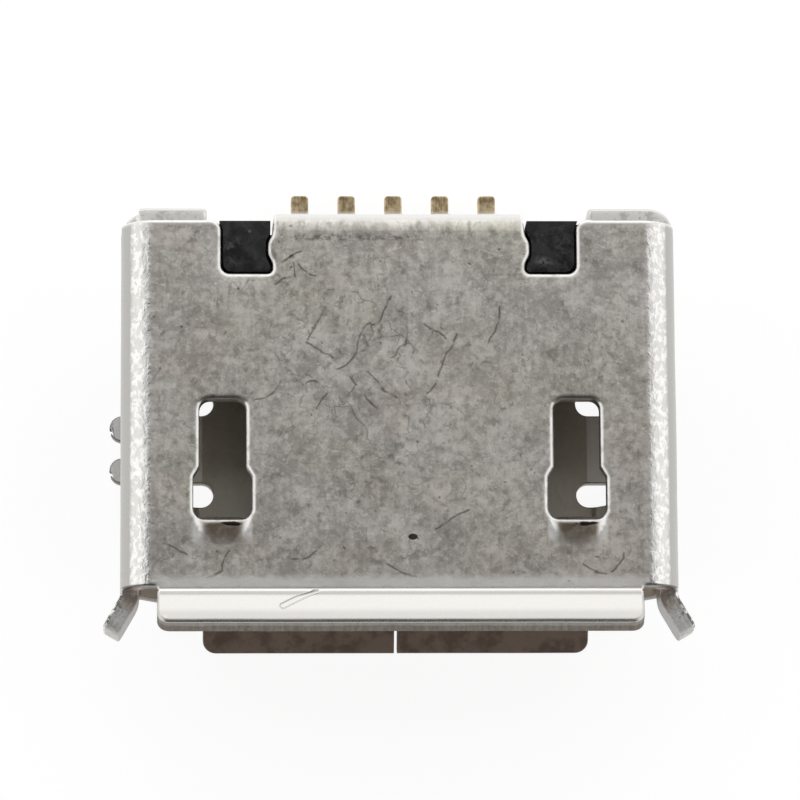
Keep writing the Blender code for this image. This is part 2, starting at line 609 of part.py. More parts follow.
def make_housing(mat):
    housing = add_object("housing", prism(housing_section(), 1, BODY_FRONT, BODY_REAR), mat)
    half = TONGUE_WIDTH / 2
    boolean(housing, add_cutter("tongue_form", prism(tongue_profile(), 0, -half, half)), "UNION")
    for name, side in (("left", -1), ("right", 1)):
        boolean(housing, add_cutter(f"block_form_{name}", notch_block(side)), "UNION")
    recess_half = REAR_FLAP_WIDTH / 2 + SEAT_CLEARANCE
    recess = box((-recess_half, recess_half), (REAR_FLAP_INNER_Y - SEAT_CLEARANCE, BODY_REAR + SHEET),
                 (FLAP_BOTTOM - SEAT_CLEARANCE, SHELL_HEIGHT + SHEET))
    boolean(housing, add_cutter("flap_recess", recess), "DIFFERENCE")
    groove = BLADE_WIDTH / 2 + SEAT_CLEARANCE
    for index in range(CONTACT_COUNT):
        x = contact_x(index)
        cutter = box((x - groove, x + groove), (BLADE_TIP - SEAT_CLEARANCE, BODY_REAR + SHEET),
                     (BLADE_BOTTOM - SEAT_CLEARANCE, BLADE_TOP + SEAT_CLEARANCE))
        boolean(housing, add_cutter(f"groove_{index + 1}", cutter), "DIFFERENCE")
    return housing


def contact_path():
    """Middle line (y, z) of a contact with the direction along it, from blade tip to tail tip."""
    leg_radius = LEG_BEND_INNER + CONTACT_THICKNESS / 2
    tail_radius = TAIL_BEND_INNER + CONTACT_THICKNESS / 2
    tail_z = CONTACT_THICKNESS / 2
    narrow_start = BODY_FRONT + BLADE_INTO_BODY
    narrow_end = narrow_start + BLADE_NARROWING
    path = [(BLADE_TIP, BLADE_Z, 0, BLADE_WIDTH), (narrow_start, BLADE_Z, 0, BLADE_WIDTH),
            (narrow_end, BLADE_Z, 0, TAIL_WIDTH)]
    for k in range(REAR_BEND_STEPS + 1):
        turn = pi / 2 * k / REAR_BEND_STEPS
        path.append((LEG_Y - leg_radius * (1 - sin(turn)), BLADE_Z - leg_radius * (1 - cos(turn)),
                     -turn, TAIL_WIDTH))
    for k in range(REAR_BEND_STEPS + 1):
        turn = pi / 2 * (1 - k / REAR_BEND_STEPS)
        path.append((LEG_Y + tail_radius * (1 - sin(turn)), tail_z + tail_radius * (1 - cos(turn)),
                     -turn, TAIL_WIDTH))
    tip = LEG_Y + TAIL_REACH
    path.append((tip - TAIL_CHAMFER, tail_z, 0, TAIL_WIDTH))
    path.append((tip, tail_z, 0, TAIL_WIDTH - 2 * TAIL_CHAMFER))
    return path


def make_contact(index, mat):
    bm = bmesh.new()
    x = contact_x(index)
    half = CONTACT_THICKNESS / 2
    rings = []
    for y, z, heading, width in contact_path():
        up_y, up_z = -sin(heading) * half, cos(heading) * half
        rings.append([bm.verts.new((x - width / 2, y - up_y, z - up_z)),
                      bm.verts.new((x + width / 2, y - up_y, z - up_z)),
                      bm.verts.new((x + width / 2, y + up_y, z + up_z)),
                      bm.verts.new((x - width / 2, y + up_y, z + up_z))])
    for first, second in zip(rings, rings[1:]):
        for i in range(4):
            bm.faces.new((first[i - 1], first[i], second[i], second[i - 1]))
    bm.faces.new(rings[0])
    bm.faces.new(rings[-1])
    return add_object(f"contact_{index + 1}", bm, mat)


def main():
    clear_scene()
    plated = material("plated_sheet", (0.46, 0.44, 0.41), 0.34, 1.0)
    black = material("black_moulding", (0.018, 0.017, 0.016), 0.5, 0.0)
    gilt = material("gilt_contact", (0.62, 0.47, 0.24), 0.32, 1.0)
    shell = add_object("shell", fold_shell(), plated)
    shell.data.shade_smooth()
    shell.data.set_sharp_from_angle(angle=radians(35))
    make_housing(black)
    for index in range(CONTACT_COUNT):
        make_contact(index, gilt)


main()
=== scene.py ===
"""Micro board socket: its folded shell, black moulding and gilt contacts, on a pale studio floor.

The shell is cut as a flat blank in millimetres, given rolled and sheared edges, and folded.
+X runs across the mouth, -Y out of the mouth and +Z up from the board.
"""

from math import atan, atan2, ceil, cos, hypot, pi, radians, sin, tan

import bmesh
import bpy
from bpy.props import FloatProperty, FloatVectorProperty, IntProperty, PointerProperty
from mathutils import Matrix, Vector, noise


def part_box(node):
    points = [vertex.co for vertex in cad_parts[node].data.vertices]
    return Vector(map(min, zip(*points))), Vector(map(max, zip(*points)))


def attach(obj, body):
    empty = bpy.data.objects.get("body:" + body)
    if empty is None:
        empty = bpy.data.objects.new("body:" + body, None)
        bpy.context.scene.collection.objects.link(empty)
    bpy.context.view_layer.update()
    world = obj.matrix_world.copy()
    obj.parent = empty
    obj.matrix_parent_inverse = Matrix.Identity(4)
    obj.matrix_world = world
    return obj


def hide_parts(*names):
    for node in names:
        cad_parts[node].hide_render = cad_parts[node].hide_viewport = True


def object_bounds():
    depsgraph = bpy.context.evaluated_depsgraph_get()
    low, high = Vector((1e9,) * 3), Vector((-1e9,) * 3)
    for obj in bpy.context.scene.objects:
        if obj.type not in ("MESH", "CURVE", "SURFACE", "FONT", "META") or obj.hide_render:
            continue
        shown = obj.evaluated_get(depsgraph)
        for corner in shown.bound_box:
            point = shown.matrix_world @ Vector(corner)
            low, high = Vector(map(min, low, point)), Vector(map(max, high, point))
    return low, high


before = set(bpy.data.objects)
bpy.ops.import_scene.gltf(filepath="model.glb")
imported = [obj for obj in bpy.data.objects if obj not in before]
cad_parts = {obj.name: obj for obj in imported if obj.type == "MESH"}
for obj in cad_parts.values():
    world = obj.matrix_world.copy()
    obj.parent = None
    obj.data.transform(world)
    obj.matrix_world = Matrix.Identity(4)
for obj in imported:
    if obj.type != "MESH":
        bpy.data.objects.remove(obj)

bl_info = {
    "name": "Micro board socket",
    "version": (1, 0, 0),
    "blender": (4, 5, 0),
    "location": "View3D > Sidebar > Socket",
    "description": "Builds the finished look of a small surface-mounted data socket",
    "category": "Add Mesh",
}

CAD_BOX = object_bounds()
MM = 0.001
UP = Vector((0, 0, 1))
ACROSS = Vector((1, 0, 0))

# Sizes of the shell in millimetres that are seldom changed
NARROW_WIDTH = 5.72
SIDE_WALL_HEIGHT = 1.40
TOP_BEND_INNER = 0.23
LOWER_BEND_INNER = 0.15
PLATE_REAR = 2.48
SHELL_LENGTH = 5.05
WALL_REAR_STEP = 0.09
WALL_FRONT_STEP = 0.12
FLARE_BEND_INNER = 0.20
UPPER_LIP_WIDTH = 6.5
UPPER_LIP_REACH = 0.41
LOWER_LIP_WIDTH = 5.29
LOWER_LIP_REACH = 0.385
LOWER_LIP_STEP = 0.04
EAR_REACH = 0.44
EAR_STEP = 0.05
EAR_HEIGHT = 0.62
UPPER_LIP_CORNER = 0.16
LOWER_LIP_CORNER = 0.18
EAR_CORNER = 0.13
WALL_CORNER = 0.06
NOTCH_CORNER = 0.045
WINDOW_SPACING = 4.75
WINDOW_WIDTH = 0.63
WINDOW_WIDE = 0.79
WINDOW_LENGTH = 1.625
WINDOW_WIDE_LENGTH = 0.575
WINDOW_SHOULDER = 0.13
WINDOW_FROM_FOLD = 0.965
WINDOW_CORNER = 0.14
RAMP_LENGTH = 0.36
RAMP_WIDTH = 0.76
RAMP_NARROWING = 0.22
RAMP_RISE = 0.09
RAMP_CURVE = 1.5
WING_WIDTH = 0.94
WING_SPAN = 7.82
WING_ASIDE = -0.018
WING_FROM_KEY = 0.27
WING_LOBE_WIDTH = 0.35
WING_NOTCH_DEPTH = 0.36
RELIEF_SLOT = 0.34
RELIEF_SLOT_CORNER = 0.13
RELIEF_SLOT_SPACING = 5.0
WING_TIP_CUT = 0.10
REAR_FLAP_WIDTH = 3.40
REAR_FLAP_BEND_INNER = 0.03
REAR_FLAP_STEP = 0.15
REAR_FLAP_ABOVE_BLADES = 0.10
REAR_NOTCH_WIDTH = 0.70
REAR_NOTCH_DEPTH = 0.74
REAR_NOTCH_CORNER = 0.12
PLATE_CORNER = 0.16
BARB_HEIGHT = 0.065
BARB_LENGTH = 0.39
BARB_TAPER = 0.11
BARB_CORNER = 0.18
BARB_FROM_NOTCH = 0.15
SIDE_FLAP_BEND_INNER = 0.08
SIDE_FLAP_STEP = 0.055
SIDE_FLAP_INNER_X = 2.59
FOOT_WIDTH = 0.74
BEND_RELIEF = 0.06
LEFT_RELIEF_LENGTH = 0.20
LEFT_RELIEF_DEPTH = 0.32
SEAM_GAP = 0.04
KEY_REACH = 0.42
KEY_NECK = 0.56
KEY_HEAD = 0.84
KEY_CORNER = 0.05
SEAT_CLEARANCE = 0.03

# Fineness of the sheet
CORNER_STEP = radians(13)
SIDE_SHARE = 0.499
MITRE_LIMIT = 0.4
ROLL_STEPS = 5
ROLL_FLATNESS = 0.9
WIDE_RIM = 1.6                      # rolled rims of the windows and the rear notches
RIM_MARGIN = 0.2
SHEARED_ROWS = (0.35, 0.7)
BURR = 0.012
WELD = 0.003
CUT_SNAP = 0.0001
PLATED = 0                          # material slots of the shell
SHEARED = 1

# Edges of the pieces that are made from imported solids
BEVEL_SEGMENTS = 2
EDGE_ANGLE = radians(40)            # an edge that turns more is rounded or kept sharp
SMOOTH_ANGLE = radians(50)
FLAT_ANGLE = radians(1)


def rounded(corners):
    """Turn (x, y, radius) corners into a closed outline with arcs at the corners."""
    outline = []
    for i, (x, y, radius) in enumerate(corners):
        here = Vector((x, y))
        if radius <= 0:
            outline.append(here)
            continue
        before = Vector(corners[i - 1][:2]) - here
        after = Vector(corners[(i + 1) % len(corners)][:2]) - here
        opening = before.angle(after)
        tangent = min(radius / tan(opening / 2), SIDE_SHARE * before.length, SIDE_SHARE * after.length)
        radius = tangent * tan(opening / 2)
        start = here + before.normalized() * tangent
        centre = here + (before.normalized() + after.normalized()).normalized() * hypot(radius, tangent)
        turn = pi - opening
        side = 1 if before.x * after.y - before.y * after.x < 0 else -1
        steps = max(1, ceil(turn / CORNER_STEP))
        arm = start - centre
        for k in range(steps + 1):
            angle = side * turn * k / steps
            outline.append(centre + Vector((arm.x * cos(angle) - arm.y * sin(angle),
                                            arm.x * sin(angle) + arm.y * cos(angle))))
    return outline


def signed_area(outline):
    return sum(a.x * b.y - a.y * b.x for a, b in zip(outline, outline[1:] + outline[:1])) / 2


def rim_share(point):
    """How much wider the rolled rim is at a point of the blank than on a plain edge."""
    a = abs(point[0])
    v = point[1]
    window_middle = PLATE_REAR - SHELL_LENGTH + WINDOW_FROM_FOLD + WINDOW_LENGTH / 2
    if abs(a - WINDOW_SPACING / 2) < WINDOW_WIDE and abs(v - window_middle) < WINDOW_LENGTH:
        return WIDE_RIM
    beside_notch = a < REAR_FLAP_WIDTH / 2 + REAR_NOTCH_WIDTH + RIM_MARGIN
    if beside_notch and v > PLATE_REAR - REAR_NOTCH_DEPTH - RIM_MARGIN:
        return 1 + (WIDE_RIM - 1) * max(0.0, min(1.0, (PLATE_REAR - v) / PLATE_CORNER))
    return 1.0


def drawn_in(outline, distance, is_hole):
    """Move an outline into the metal by a distance, further where the rim is wide."""
    side = 1 if (signed_area(outline) > 0) != is_hole else -1
    moved = []
    for i, here in enumerate(outline):
        before = (here - outline[i - 1]).normalized()
        after = (outline[(i + 1) % len(outline)] - here).normalized()
        first = Vector((-before.y, before.x)) * side
        second = Vector((-after.y, after.x)) * side
        middle = (first + second).normalized()
        mitre = max(MITRE_LIMIT, middle.dot(first))
        moved.append(here + middle * distance * rim_share(here) / mitre)
    return moved


def mirrored(corners):
    return [(-x, y, r) for x, y, r in reversed(corners)]


def lines(start, length, steps):
    return [start + length * k / steps for k in range(steps + 1)]


class FoldedSheet:
    """The shell: outline of its flat blank, and the fold that carries a point of it to its place."""

    def __init__(self, sizes):
        self.sheet = sizes.sheet / MM
        self.width = sizes.width / MM
        self.height = sizes.height / MM
        self.roll = sizes.edge_roll / MM
        self.wave = sizes.wave / MM
        self.grid = sizes.grid / MM
        self.flare = sizes.flare_angle
        self.ear_flare = sizes.ear_angle
        self.bend_steps = sizes.bend_steps
        half_sheet = self.sheet / 2
        half_width = self.width / 2
        chamfer_height = self.height - SIDE_WALL_HEIGHT
        run = half_width - NARROW_WIDTH / 2
        self.slope = atan2(chamfer_height, run)
        self.upper_turn = pi / 2 - self.slope
        self.top_mid = TOP_BEND_INNER + half_sheet
        self.low_mid = LOWER_BEND_INNER + half_sheet
        self.flare_mid = FLARE_BEND_INNER + half_sheet
        self.rear_mid = REAR_FLAP_BEND_INNER + half_sheet
        self.side_mid = SIDE_FLAP_BEND_INNER + half_sheet
        self.flare_arc = self.flare_mid * self.flare
        self.ear_arc = self.flare_mid * self.ear_flare
        self.wall_top_z = self.height - TOP_BEND_INNER - self.sheet
        low_outer = LOWER_BEND_INNER + self.sheet
        upper_tangent = low_outer * tan(self.upper_turn / 2)
        lower_tangent = low_outer * tan(self.slope / 2)
        self.wall_length = self.wall_top_z - chamfer_height - upper_tangent
        self.slope_length = hypot(run, chamfer_height) - upper_tangent - lower_tangent
        self.floor_length = NARROW_WIDTH / 2 - lower_tangent
        self.u_top = half_width - TOP_BEND_INNER - self.sheet
        self.u_wall = self.u_top + self.top_mid * pi / 2
        self.u_high = self.u_wall + self.wall_length
        self.u_slope = self.u_high + self.low_mid * self.upper_turn
        self.u_low = self.u_slope + self.slope_length
        self.u_floor = self.u_low + self.low_mid * self.slope
        self.u_seam = self.u_floor + self.floor_length
        self.fold_y = PLATE_REAR - SHELL_LENGTH
        self.ear_fold_y = self.fold_y + EAR_STEP
        self.lower_fold_y = self.fold_y + LOWER_LIP_STEP
        self.wall_mid_x = half_width - half_sheet
        self.side_fold_y = PLATE_REAR - SIDE_FLAP_STEP
        self.side_turn_end = self.side_fold_y + self.side_mid * pi / 2
        self.side_end = self.side_turn_end + self.wall_mid_x - self.side_mid - SIDE_FLAP_INNER_X
        self.flap_top_u = self.u_wall + BEND_RELIEF / 2
        self.foot_u = self.u_wall + self.wall_top_z
        self.rear_fold_y = PLATE_REAR - REAR_FLAP_STEP
        self.rear_turn_end = self.rear_fold_y + self.rear_mid * pi / 2
        flap_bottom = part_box("contact_1")[1].z / MM + REAR_FLAP_ABOVE_BLADES
        self.rear_end = self.rear_turn_end + self.height - half_sheet - self.rear_mid - flap_bottom
        self.wing_length = WING_SPAN / 2 - self.floor_length

    def section_point(self, u):
        """Place and outward normal of the middle of the sheet, at the distance u round the section."""
        x, z, heading = 0.0, self.height - self.sheet / 2, 0.0
        steps = ((self.u_top, 0, 0), (self.top_mid * pi / 2, self.top_mid, pi / 2),
                 (self.wall_length, 0, 0), (self.low_mid * self.upper_turn, self.low_mid, self.upper_turn),
                 (self.slope_length, 0, 0), (self.low_mid * self.slope, self.low_mid, self.slope),
                 (self.u_seam, 0, 0))
        left = u
        for length, radius, turn in steps:
            part = min(left, length)
            left -= part
            if radius == 0:
                x += part * cos(heading)
                z += part * sin(heading)
            else:
                centre_x = x + radius * sin(heading)
                centre_z = z - radius * cos(heading)
                heading -= turn * part / length
                x = centre_x - radius * sin(heading)
                z = centre_z + radius * cos(heading)
            if left <= 0:
                break
        return x, z, -sin(heading), cos(heading)

    def ramp_shape(self, u, v):
        """Rise and tilt of the lead-in in front of a window at a point of the wide plate."""
        ahead = self.fold_y + WINDOW_FROM_FOLD - v
        along = ahead / RAMP_LENGTH if ahead > 0 else -ahead / WINDOW_CORNER
        half_width = (RAMP_WIDTH - (RAMP_NARROWING * along if ahead > 0 else 0.0)) / 2
        off_middle = abs(abs(u) - WINDOW_SPACING / 2)
        if along >= 1 or off_middle >= half_width:
            return 0.0, 0.0
        share = 1 - (off_middle / half_width) ** 4
        slope = RAMP_RISE / RAMP_LENGTH * RAMP_CURVE * share * (1 - along) ** (RAMP_CURVE - 1)
        return RAMP_RISE * share * (1 - along) ** RAMP_CURVE, atan(slope)

    def waved(self, u, v):
        """Slight unevenness of the pressed sheet."""
        place = Vector((u, v, 0.0))
        return self.wave * (noise.noise(place * 0.9) + 0.4 * noise.noise(place * 2.3 + UP * 7))

    def flare_at(self, a):
        """Fold line and angle of the lip or ear at the distance a round the section."""
        if a < (UPPER_LIP_WIDTH / 2 + self.flap_top_u) / 2:
            return self.fold_y, self.flare
        if a < self.u_slope:
            return self.ear_fold_y, self.ear_flare
        return self.lower_fold_y, self.flare

    def fold(self, u, v, w):
        """Carry a point of the flat blank to its place; w is the height off its middle."""
        side = -1 if u < 0 else 1
        a = abs(u)
        w += self.waved(u, v)
        reach = WING_WIDTH / 2 + RELIEF_SLOT / 2
        wing_top = self.u_floor - self.wing_length - WING_TIP_CUT / 2
        if abs(v + WING_FROM_KEY) < reach and wing_top < a < self.u_floor:
            x = side * (self.floor_length + self.u_floor - a) + WING_ASIDE
            return Vector((x, v, self.sheet / 2 - w))
        if v > self.side_fold_y and self.u_wall < a < self.foot_u + self.sheet:
            turn = min((v - self.side_fold_y) / self.side_mid, pi / 2)
            past = max(0.0, v - self.side_turn_end)
            x = self.wall_mid_x - self.side_mid + (self.side_mid + w) * cos(turn) - past
            y = self.side_fold_y + (self.side_mid + w) * sin(turn)
            return Vector((side * x, y, self.wall_top_z - (a - self.u_wall)))
        if v > self.rear_fold_y and a < REAR_FLAP_WIDTH / 2 + BARB_HEIGHT / 2:
            turn = min((v - self.rear_fold_y) / self.rear_mid, pi / 2)
            past = max(0.0, v - self.rear_turn_end)
            y = self.rear_fold_y + (self.rear_mid + w) * sin(turn)
            top = self.height - self.sheet / 2 - self.rear_mid
            return Vector((u, y, top + (self.rear_mid + w) * cos(turn) - past))
        x, z, normal_x, normal_z = self.section_point(a)
        start, angle = self.flare_at(a)
        if v < start:
            turn = min((start - v) / self.flare_mid, angle)
            past = max(0.0, start - v - self.flare_mid * angle)
            out = self.flare_mid * (1 - cos(turn)) + past * sin(turn) + w * cos(turn)
            y = start - self.flare_mid * sin(turn) - past * cos(turn) + w * sin(turn)
            return Vector((side * (x + normal_x * out), y, z + normal_z * out))
        rise, tilt = self.ramp_shape(u, v)
        return Vector((side * (x + normal_x * w), v - w * sin(tilt), z + rise + normal_z * w * cos(tilt)))

    def front_edge(self):
        """Front edge of the blank, from the upper lip to the seam."""
        lip = UPPER_LIP_WIDTH / 2
        ear_top = self.flap_top_u
        ear_bottom = ear_top + EAR_HEIGHT
        lower = self.u_seam - LOWER_LIP_WIDTH / 2
        ear_tip = self.ear_fold_y - self.ear_arc - EAR_REACH
        lower_tip = self.lower_fold_y - self.flare_arc - LOWER_LIP_REACH
        wall_front = self.fold_y + WALL_FRONT_STEP
        return [(lip, self.fold_y - self.flare_arc - UPPER_LIP_REACH, UPPER_LIP_CORNER),
                (lip, self.ear_fold_y, NOTCH_CORNER), (ear_top, self.ear_fold_y, NOTCH_CORNER),
                (ear_top, ear_tip, EAR_CORNER), (ear_bottom, ear_tip, EAR_CORNER),
                (ear_bottom, wall_front, WALL_CORNER), (lower, wall_front, WALL_CORNER / 2),
                (lower, lower_tip, LOWER_LIP_CORNER), (self.u_seam - SEAM_GAP / 2, lower_tip, 0)]

    def rear_edge(self, relief_length, relief_depth):
        """Rear edge of the blank, from the seam to the centre flap."""
        wall_rear = PLATE_REAR - WALL_REAR_STEP
        foot_start = self.side_end - FOOT_WIDTH
        notch_front = PLATE_REAR - REAR_NOTCH_DEPTH
        notch_outer = REAR_FLAP_WIDTH / 2 + REAR_NOTCH_WIDTH
        slit_front = self.side_fold_y - BEND_RELIEF / 2
        slit_u = self.flap_top_u - BEND_RELIEF
        corner = REAR_NOTCH_CORNER
        points = [(self.u_seam - SEAM_GAP / 2, wall_rear, 0), (self.u_high, wall_rear, 0),
                  (self.u_high, foot_start, corner), (self.foot_u, foot_start, 0),
                  (self.foot_u, self.side_end, 0), (self.flap_top_u, self.side_end, corner / 2)]
        if relief_length > 0:
            relief_end = PLATE_REAR + relief_length
            relief_u = self.flap_top_u + relief_depth
            points += [(self.flap_top_u, relief_end, 0), (relief_u, relief_end, corner / 2),
                       (relief_u, slit_front, corner / 2)]
        else:
            points += [(self.flap_top_u, slit_front, 0)]
        side = REAR_FLAP_WIDTH / 2
        barb_start = notch_front + BARB_FROM_NOTCH
        barb_end = barb_start + BARB_LENGTH
        return points + [(slit_u, slit_front, 0), (slit_u, PLATE_REAR, 0),
                         (notch_outer, PLATE_REAR, PLATE_CORNER), (notch_outer, notch_front, corner),
                         (side, notch_front, corner), (side, barb_start, BARB_CORNER),
                         (side + BARB_HEIGHT, barb_start + BARB_TAPER, BARB_CORNER),
                         (side + BARB_HEIGHT, barb_end - BARB_TAPER, BARB_CORNER),
                         (side, barb_end, BARB_CORNER),
                         (side, self.rear_end, corner)]

    def key_outline(self, tip, grow):
        """Dovetail on the seam or, with a tip short of the seam, the cut that takes it."""
        root = self.u_seam - SEAM_GAP / 2
        neck = KEY_NECK / 2 + grow
        head = KEY_HEAD / 2 + grow
        return [(root, -neck, 0), (tip, -head, KEY_CORNER), (tip, head, KEY_CORNER), (root, neck, 0)]

    def window_outline(self, side):
        middle = side * WINDOW_SPACING / 2
        front = self.fold_y + WINDOW_FROM_FOLD
        rear = front + WINDOW_LENGTH
        wide = front + WINDOW_WIDE_LENGTH
        neck = wide + WINDOW_SHOULDER
        half = WINDOW_WIDTH / 2
        half_wide = WINDOW_WIDE / 2
        small = WINDOW_CORNER / 2
        return [(middle - half_wide, front, WINDOW_CORNER), (middle + half_wide, front, WINDOW_CORNER),
                (middle + half_wide, wide, small), (middle + half, neck, small),
                (middle + half, rear, WINDOW_CORNER), (middle - half, rear, WINDOW_CORNER),
                (middle - half, neck, small), (middle - half_wide, wide, small)]

    def wing_slot(self):
        """The slot that frees a solder wing from the sloped wall on the +u side."""
        front = -WING_FROM_KEY - WING_WIDTH / 2
        rear = -WING_FROM_KEY + WING_WIDTH / 2
        tip = self.u_floor - self.wing_length
        top = tip - WING_TIP_CUT
        end = self.u_seam - RELIEF_SLOT_SPACING / 2
        round_end = RELIEF_SLOT / 2
        lobe = WING_LOBE_WIDTH / 2
        notch_front = front + WING_LOBE_WIDTH
        notch_rear = rear - WING_LOBE_WIDTH
        notch_end = tip + WING_NOTCH_DEPTH
        notch_corner = (notch_rear - notch_front) / 2
        return [(top, front - RELIEF_SLOT, RELIEF_SLOT_CORNER), (end, front - RELIEF_SLOT, round_end),
                (end, front, round_end), (tip, front, lobe), (tip, notch_front, lobe),
                (notch_end, notch_front, notch_corner), (notch_end, notch_rear, notch_corner),
                (tip, notch_rear, lobe), (tip, rear, lobe), (end, rear, round_end),
                (end, rear + RELIEF_SLOT, round_end), (top, rear + RELIEF_SLOT, RELIEF_SLOT_CORNER)]

    def loops(self):
        """Outline and holes of the flat blank, drawn in by the radius of the rolled edge."""
        tip = self.u_seam + KEY_REACH
        socket = self.u_seam - KEY_REACH - SEAT_CLEARANCE
        right = self.front_edge() + self.key_outline(tip, 0) + self.rear_edge(0, 0)
        left = (self.front_edge() + self.key_outline(socket, SEAT_CLEARANCE)
                + self.rear_edge(LEFT_RELIEF_LENGTH, LEFT_RELIEF_DEPTH))
        slot = self.wing_slot()
        holes = [self.window_outline(1), self.window_outline(-1), slot, mirrored(slot)]
        return ([drawn_in(rounded(right + mirrored(left)), self.roll, False)]
                + [drawn_in(rounded(hole), self.roll, True) for hole in holes])

    def cuts_across(self):
        """Places round the section where the blank is split."""
        bends = (lines(self.u_top, self.u_wall - self.u_top, self.bend_steps * 2)
                 + lines(self.u_high, self.u_slope - self.u_high, self.bend_steps)
                 + lines(self.u_low, self.u_floor - self.u_low, self.bend_steps))
        plain = lines(0, self.u_seam, ceil(self.u_seam / self.grid))
        ramp = lines(WINDOW_SPACING / 2 - RAMP_WIDTH / 2, RAMP_WIDTH, 2 * self.bend_steps)
        spots = bends + ramp + [u for u in plain if min(abs(u - b) for b in bends + ramp) > self.grid / 4]
        return sorted(set(spots + [-u for u in spots]))

    def cuts_along(self):
        bends = (lines(self.rear_fold_y, self.rear_turn_end - self.rear_fold_y, self.bend_steps)
                 + lines(self.side_fold_y, self.side_turn_end - self.side_fold_y, self.bend_steps)
                 + lines(self.fold_y - self.ear_arc, self.ear_arc, self.bend_steps)
                 + [self.ear_fold_y, self.lower_fold_y, self.lower_fold_y - self.flare_arc])
        window_front = self.fold_y + WINDOW_FROM_FOLD
        ramp = (lines(window_front - RAMP_LENGTH, RAMP_LENGTH, self.bend_steps)
                + lines(window_front, WINDOW_CORNER, 4)[1:])
        front = self.fold_y - 1
        plain = lines(front, self.side_end - front, ceil((self.side_end - front) / self.grid))
        return bends + ramp + [v for v in plain if min(abs(v - b) for b in bends + ramp) > self.grid / 4]


def split(bm, place, normal):
    geom = bm.faces[:] + bm.edges[:] + bm.verts[:]
    bmesh.ops.bisect_plane(bm, geom=geom, dist=CUT_SNAP, plane_co=place, plane_no=normal)


def flat_blank(shape):
    """The blank as a flat mesh in millimetres, split at its bends and on a fine grid."""
    bm = bmesh.new()
    for outline in shape.loops():
        verts = [bm.verts.new((p.x, p.y, 0)) for p in outline]
        for i, vert in enumerate(verts):
            bm.edges.new((vert, verts[i - 1]))
    bmesh.ops.triangle_fill(bm, use_beauty=True, edges=bm.edges[:])
    for u in shape.cuts_across():
        split(bm, (u, 0, 0), (1, 0, 0))
    for v in shape.cuts_along():
        split(bm, (0, v, 0), (0, 1, 0))
    bmesh.ops.remove_doubles(bm, verts=bm.verts[:], dist=WELD)
    bmesh.ops.triangulate(bm, faces=bm.faces[:])
    return bm


def outward(bm):
    """For each vertex on an edge of the flat blank, the way out of the metal, longer at sharp corners."""
    sides = {}
    for edge in bm.edges:
        if not edge.is_boundary:
            continue
        start, end = edge.verts
        run = (end.co - start.co).normalized()
        normal = Vector((run.y, -run.x, 0))
        if normal.dot(edge.link_faces[0].calc_center_median() - start.co) > 0:
            normal = -normal
        for vert in edge.verts:
            sides.setdefault(vert, []).append(normal)
    ways = {}
    for vert, normals in sides.items():
        middle = sum(normals, Vector()).normalized()
        ways[vert] = middle * rim_share(vert.co) / max(MITRE_LIMIT, middle.dot(normals[0]))
    return ways


def edge_profile(shape):
    """Steps out and heights of a cut edge, from the rolled upper side to the burr below."""
    half = shape.sheet / 2
    roll = shape.roll
    depth = roll * ROLL_FLATNESS
    rows = []
    for k in range(ROLL_STEPS + 1):
        angle = pi / 2 * k / ROLL_STEPS
        rows.append((roll * sin(angle), half - depth * (1 - cos(angle)), PLATED))
    for share in SHEARED_ROWS:
        rows.append((roll, half - depth - share * (shape.sheet - depth - BURR), SHEARED))
    rows.append((roll, BURR - half, SHEARED))
    rows.append((roll - BURR, -half, SHEARED))
    return rows


def thick_sheet(shape):
    """Give the blank its thickness and its edges; returns the mesh and each vertex's place in the blank."""
    flat = flat_blank(shape)
    ways = outward(flat)
    rows = edge_profile(shape)
    half = shape.sheet / 2
    bm = bmesh.new()
    places = []

    def add(point, height):
        places.append(Vector((point.x, point.y, height)))
        return bm.verts.new(shape.fold(point.x, point.y, height) * MM)

    upper = {vert: add(vert.co, half) for vert in flat.verts}
    rims = {vert: [upper[vert]] + [add(vert.co + way * out, height) for out, height, _ in rows[1:]]
            for vert, way in ways.items()}
    lower = {vert: rims[vert][-1] if vert in rims else add(vert.co, -half) for vert in flat.verts}
    for face in flat.faces:
        verts = face.verts if face.normal.z > 0 else list(reversed(face.verts))
        bm.faces.new([upper[v] for v in verts])
        bm.faces.new([lower[v] for v in reversed(verts)])
    for edge in flat.edges:
        if not edge.is_boundary:
            continue
        face = edge.link_faces[0]
        loop = next(one for one in face.loops if one.edge == edge)
        start, end = loop.vert, loop.link_loop_next.vert
        if face.normal.z < 0:
            start, end = end, start
        for k, (_, _, slot) in enumerate(rows[1:]):
            side = bm.faces.new((rims[start][k], rims[start][k + 1], rims[end][k + 1], rims[end][k]))
            side.material_index = slot
    flat.free()
    return bm, places


def smooth_mesh(obj, angle):
    """Smooth shading that keeps flats flat."""
    obj.data.shade_smooth()
    obj.data.set_sharp_from_angle(angle=angle)
    weigh = obj.modifiers.new("even_shading", "WEIGHTED_NORMAL")
    weigh.keep_sharp = True
    weigh.weight = 80


def facing(direction, right):
    """Turn of an object whose own +Z lies along a direction and whose own +X is nearest to right."""
    back = direction.normalized()
    up = back.cross(right).normalized()
    return Matrix((up.cross(back), up, back)).transposed().to_euler()


def link(obj):
    bpy.context.scene.collection.objects.link(obj)
    return obj


def mesh_object(name, bm, *materials):
    """A new object made from a working mesh, which is freed."""
    mesh = bpy.data.meshes.new(name)
    bm.to_mesh(mesh)
    bm.free()
    for material in materials:
        mesh.materials.append(material)
    return link(bpy.data.objects.new(name, mesh))


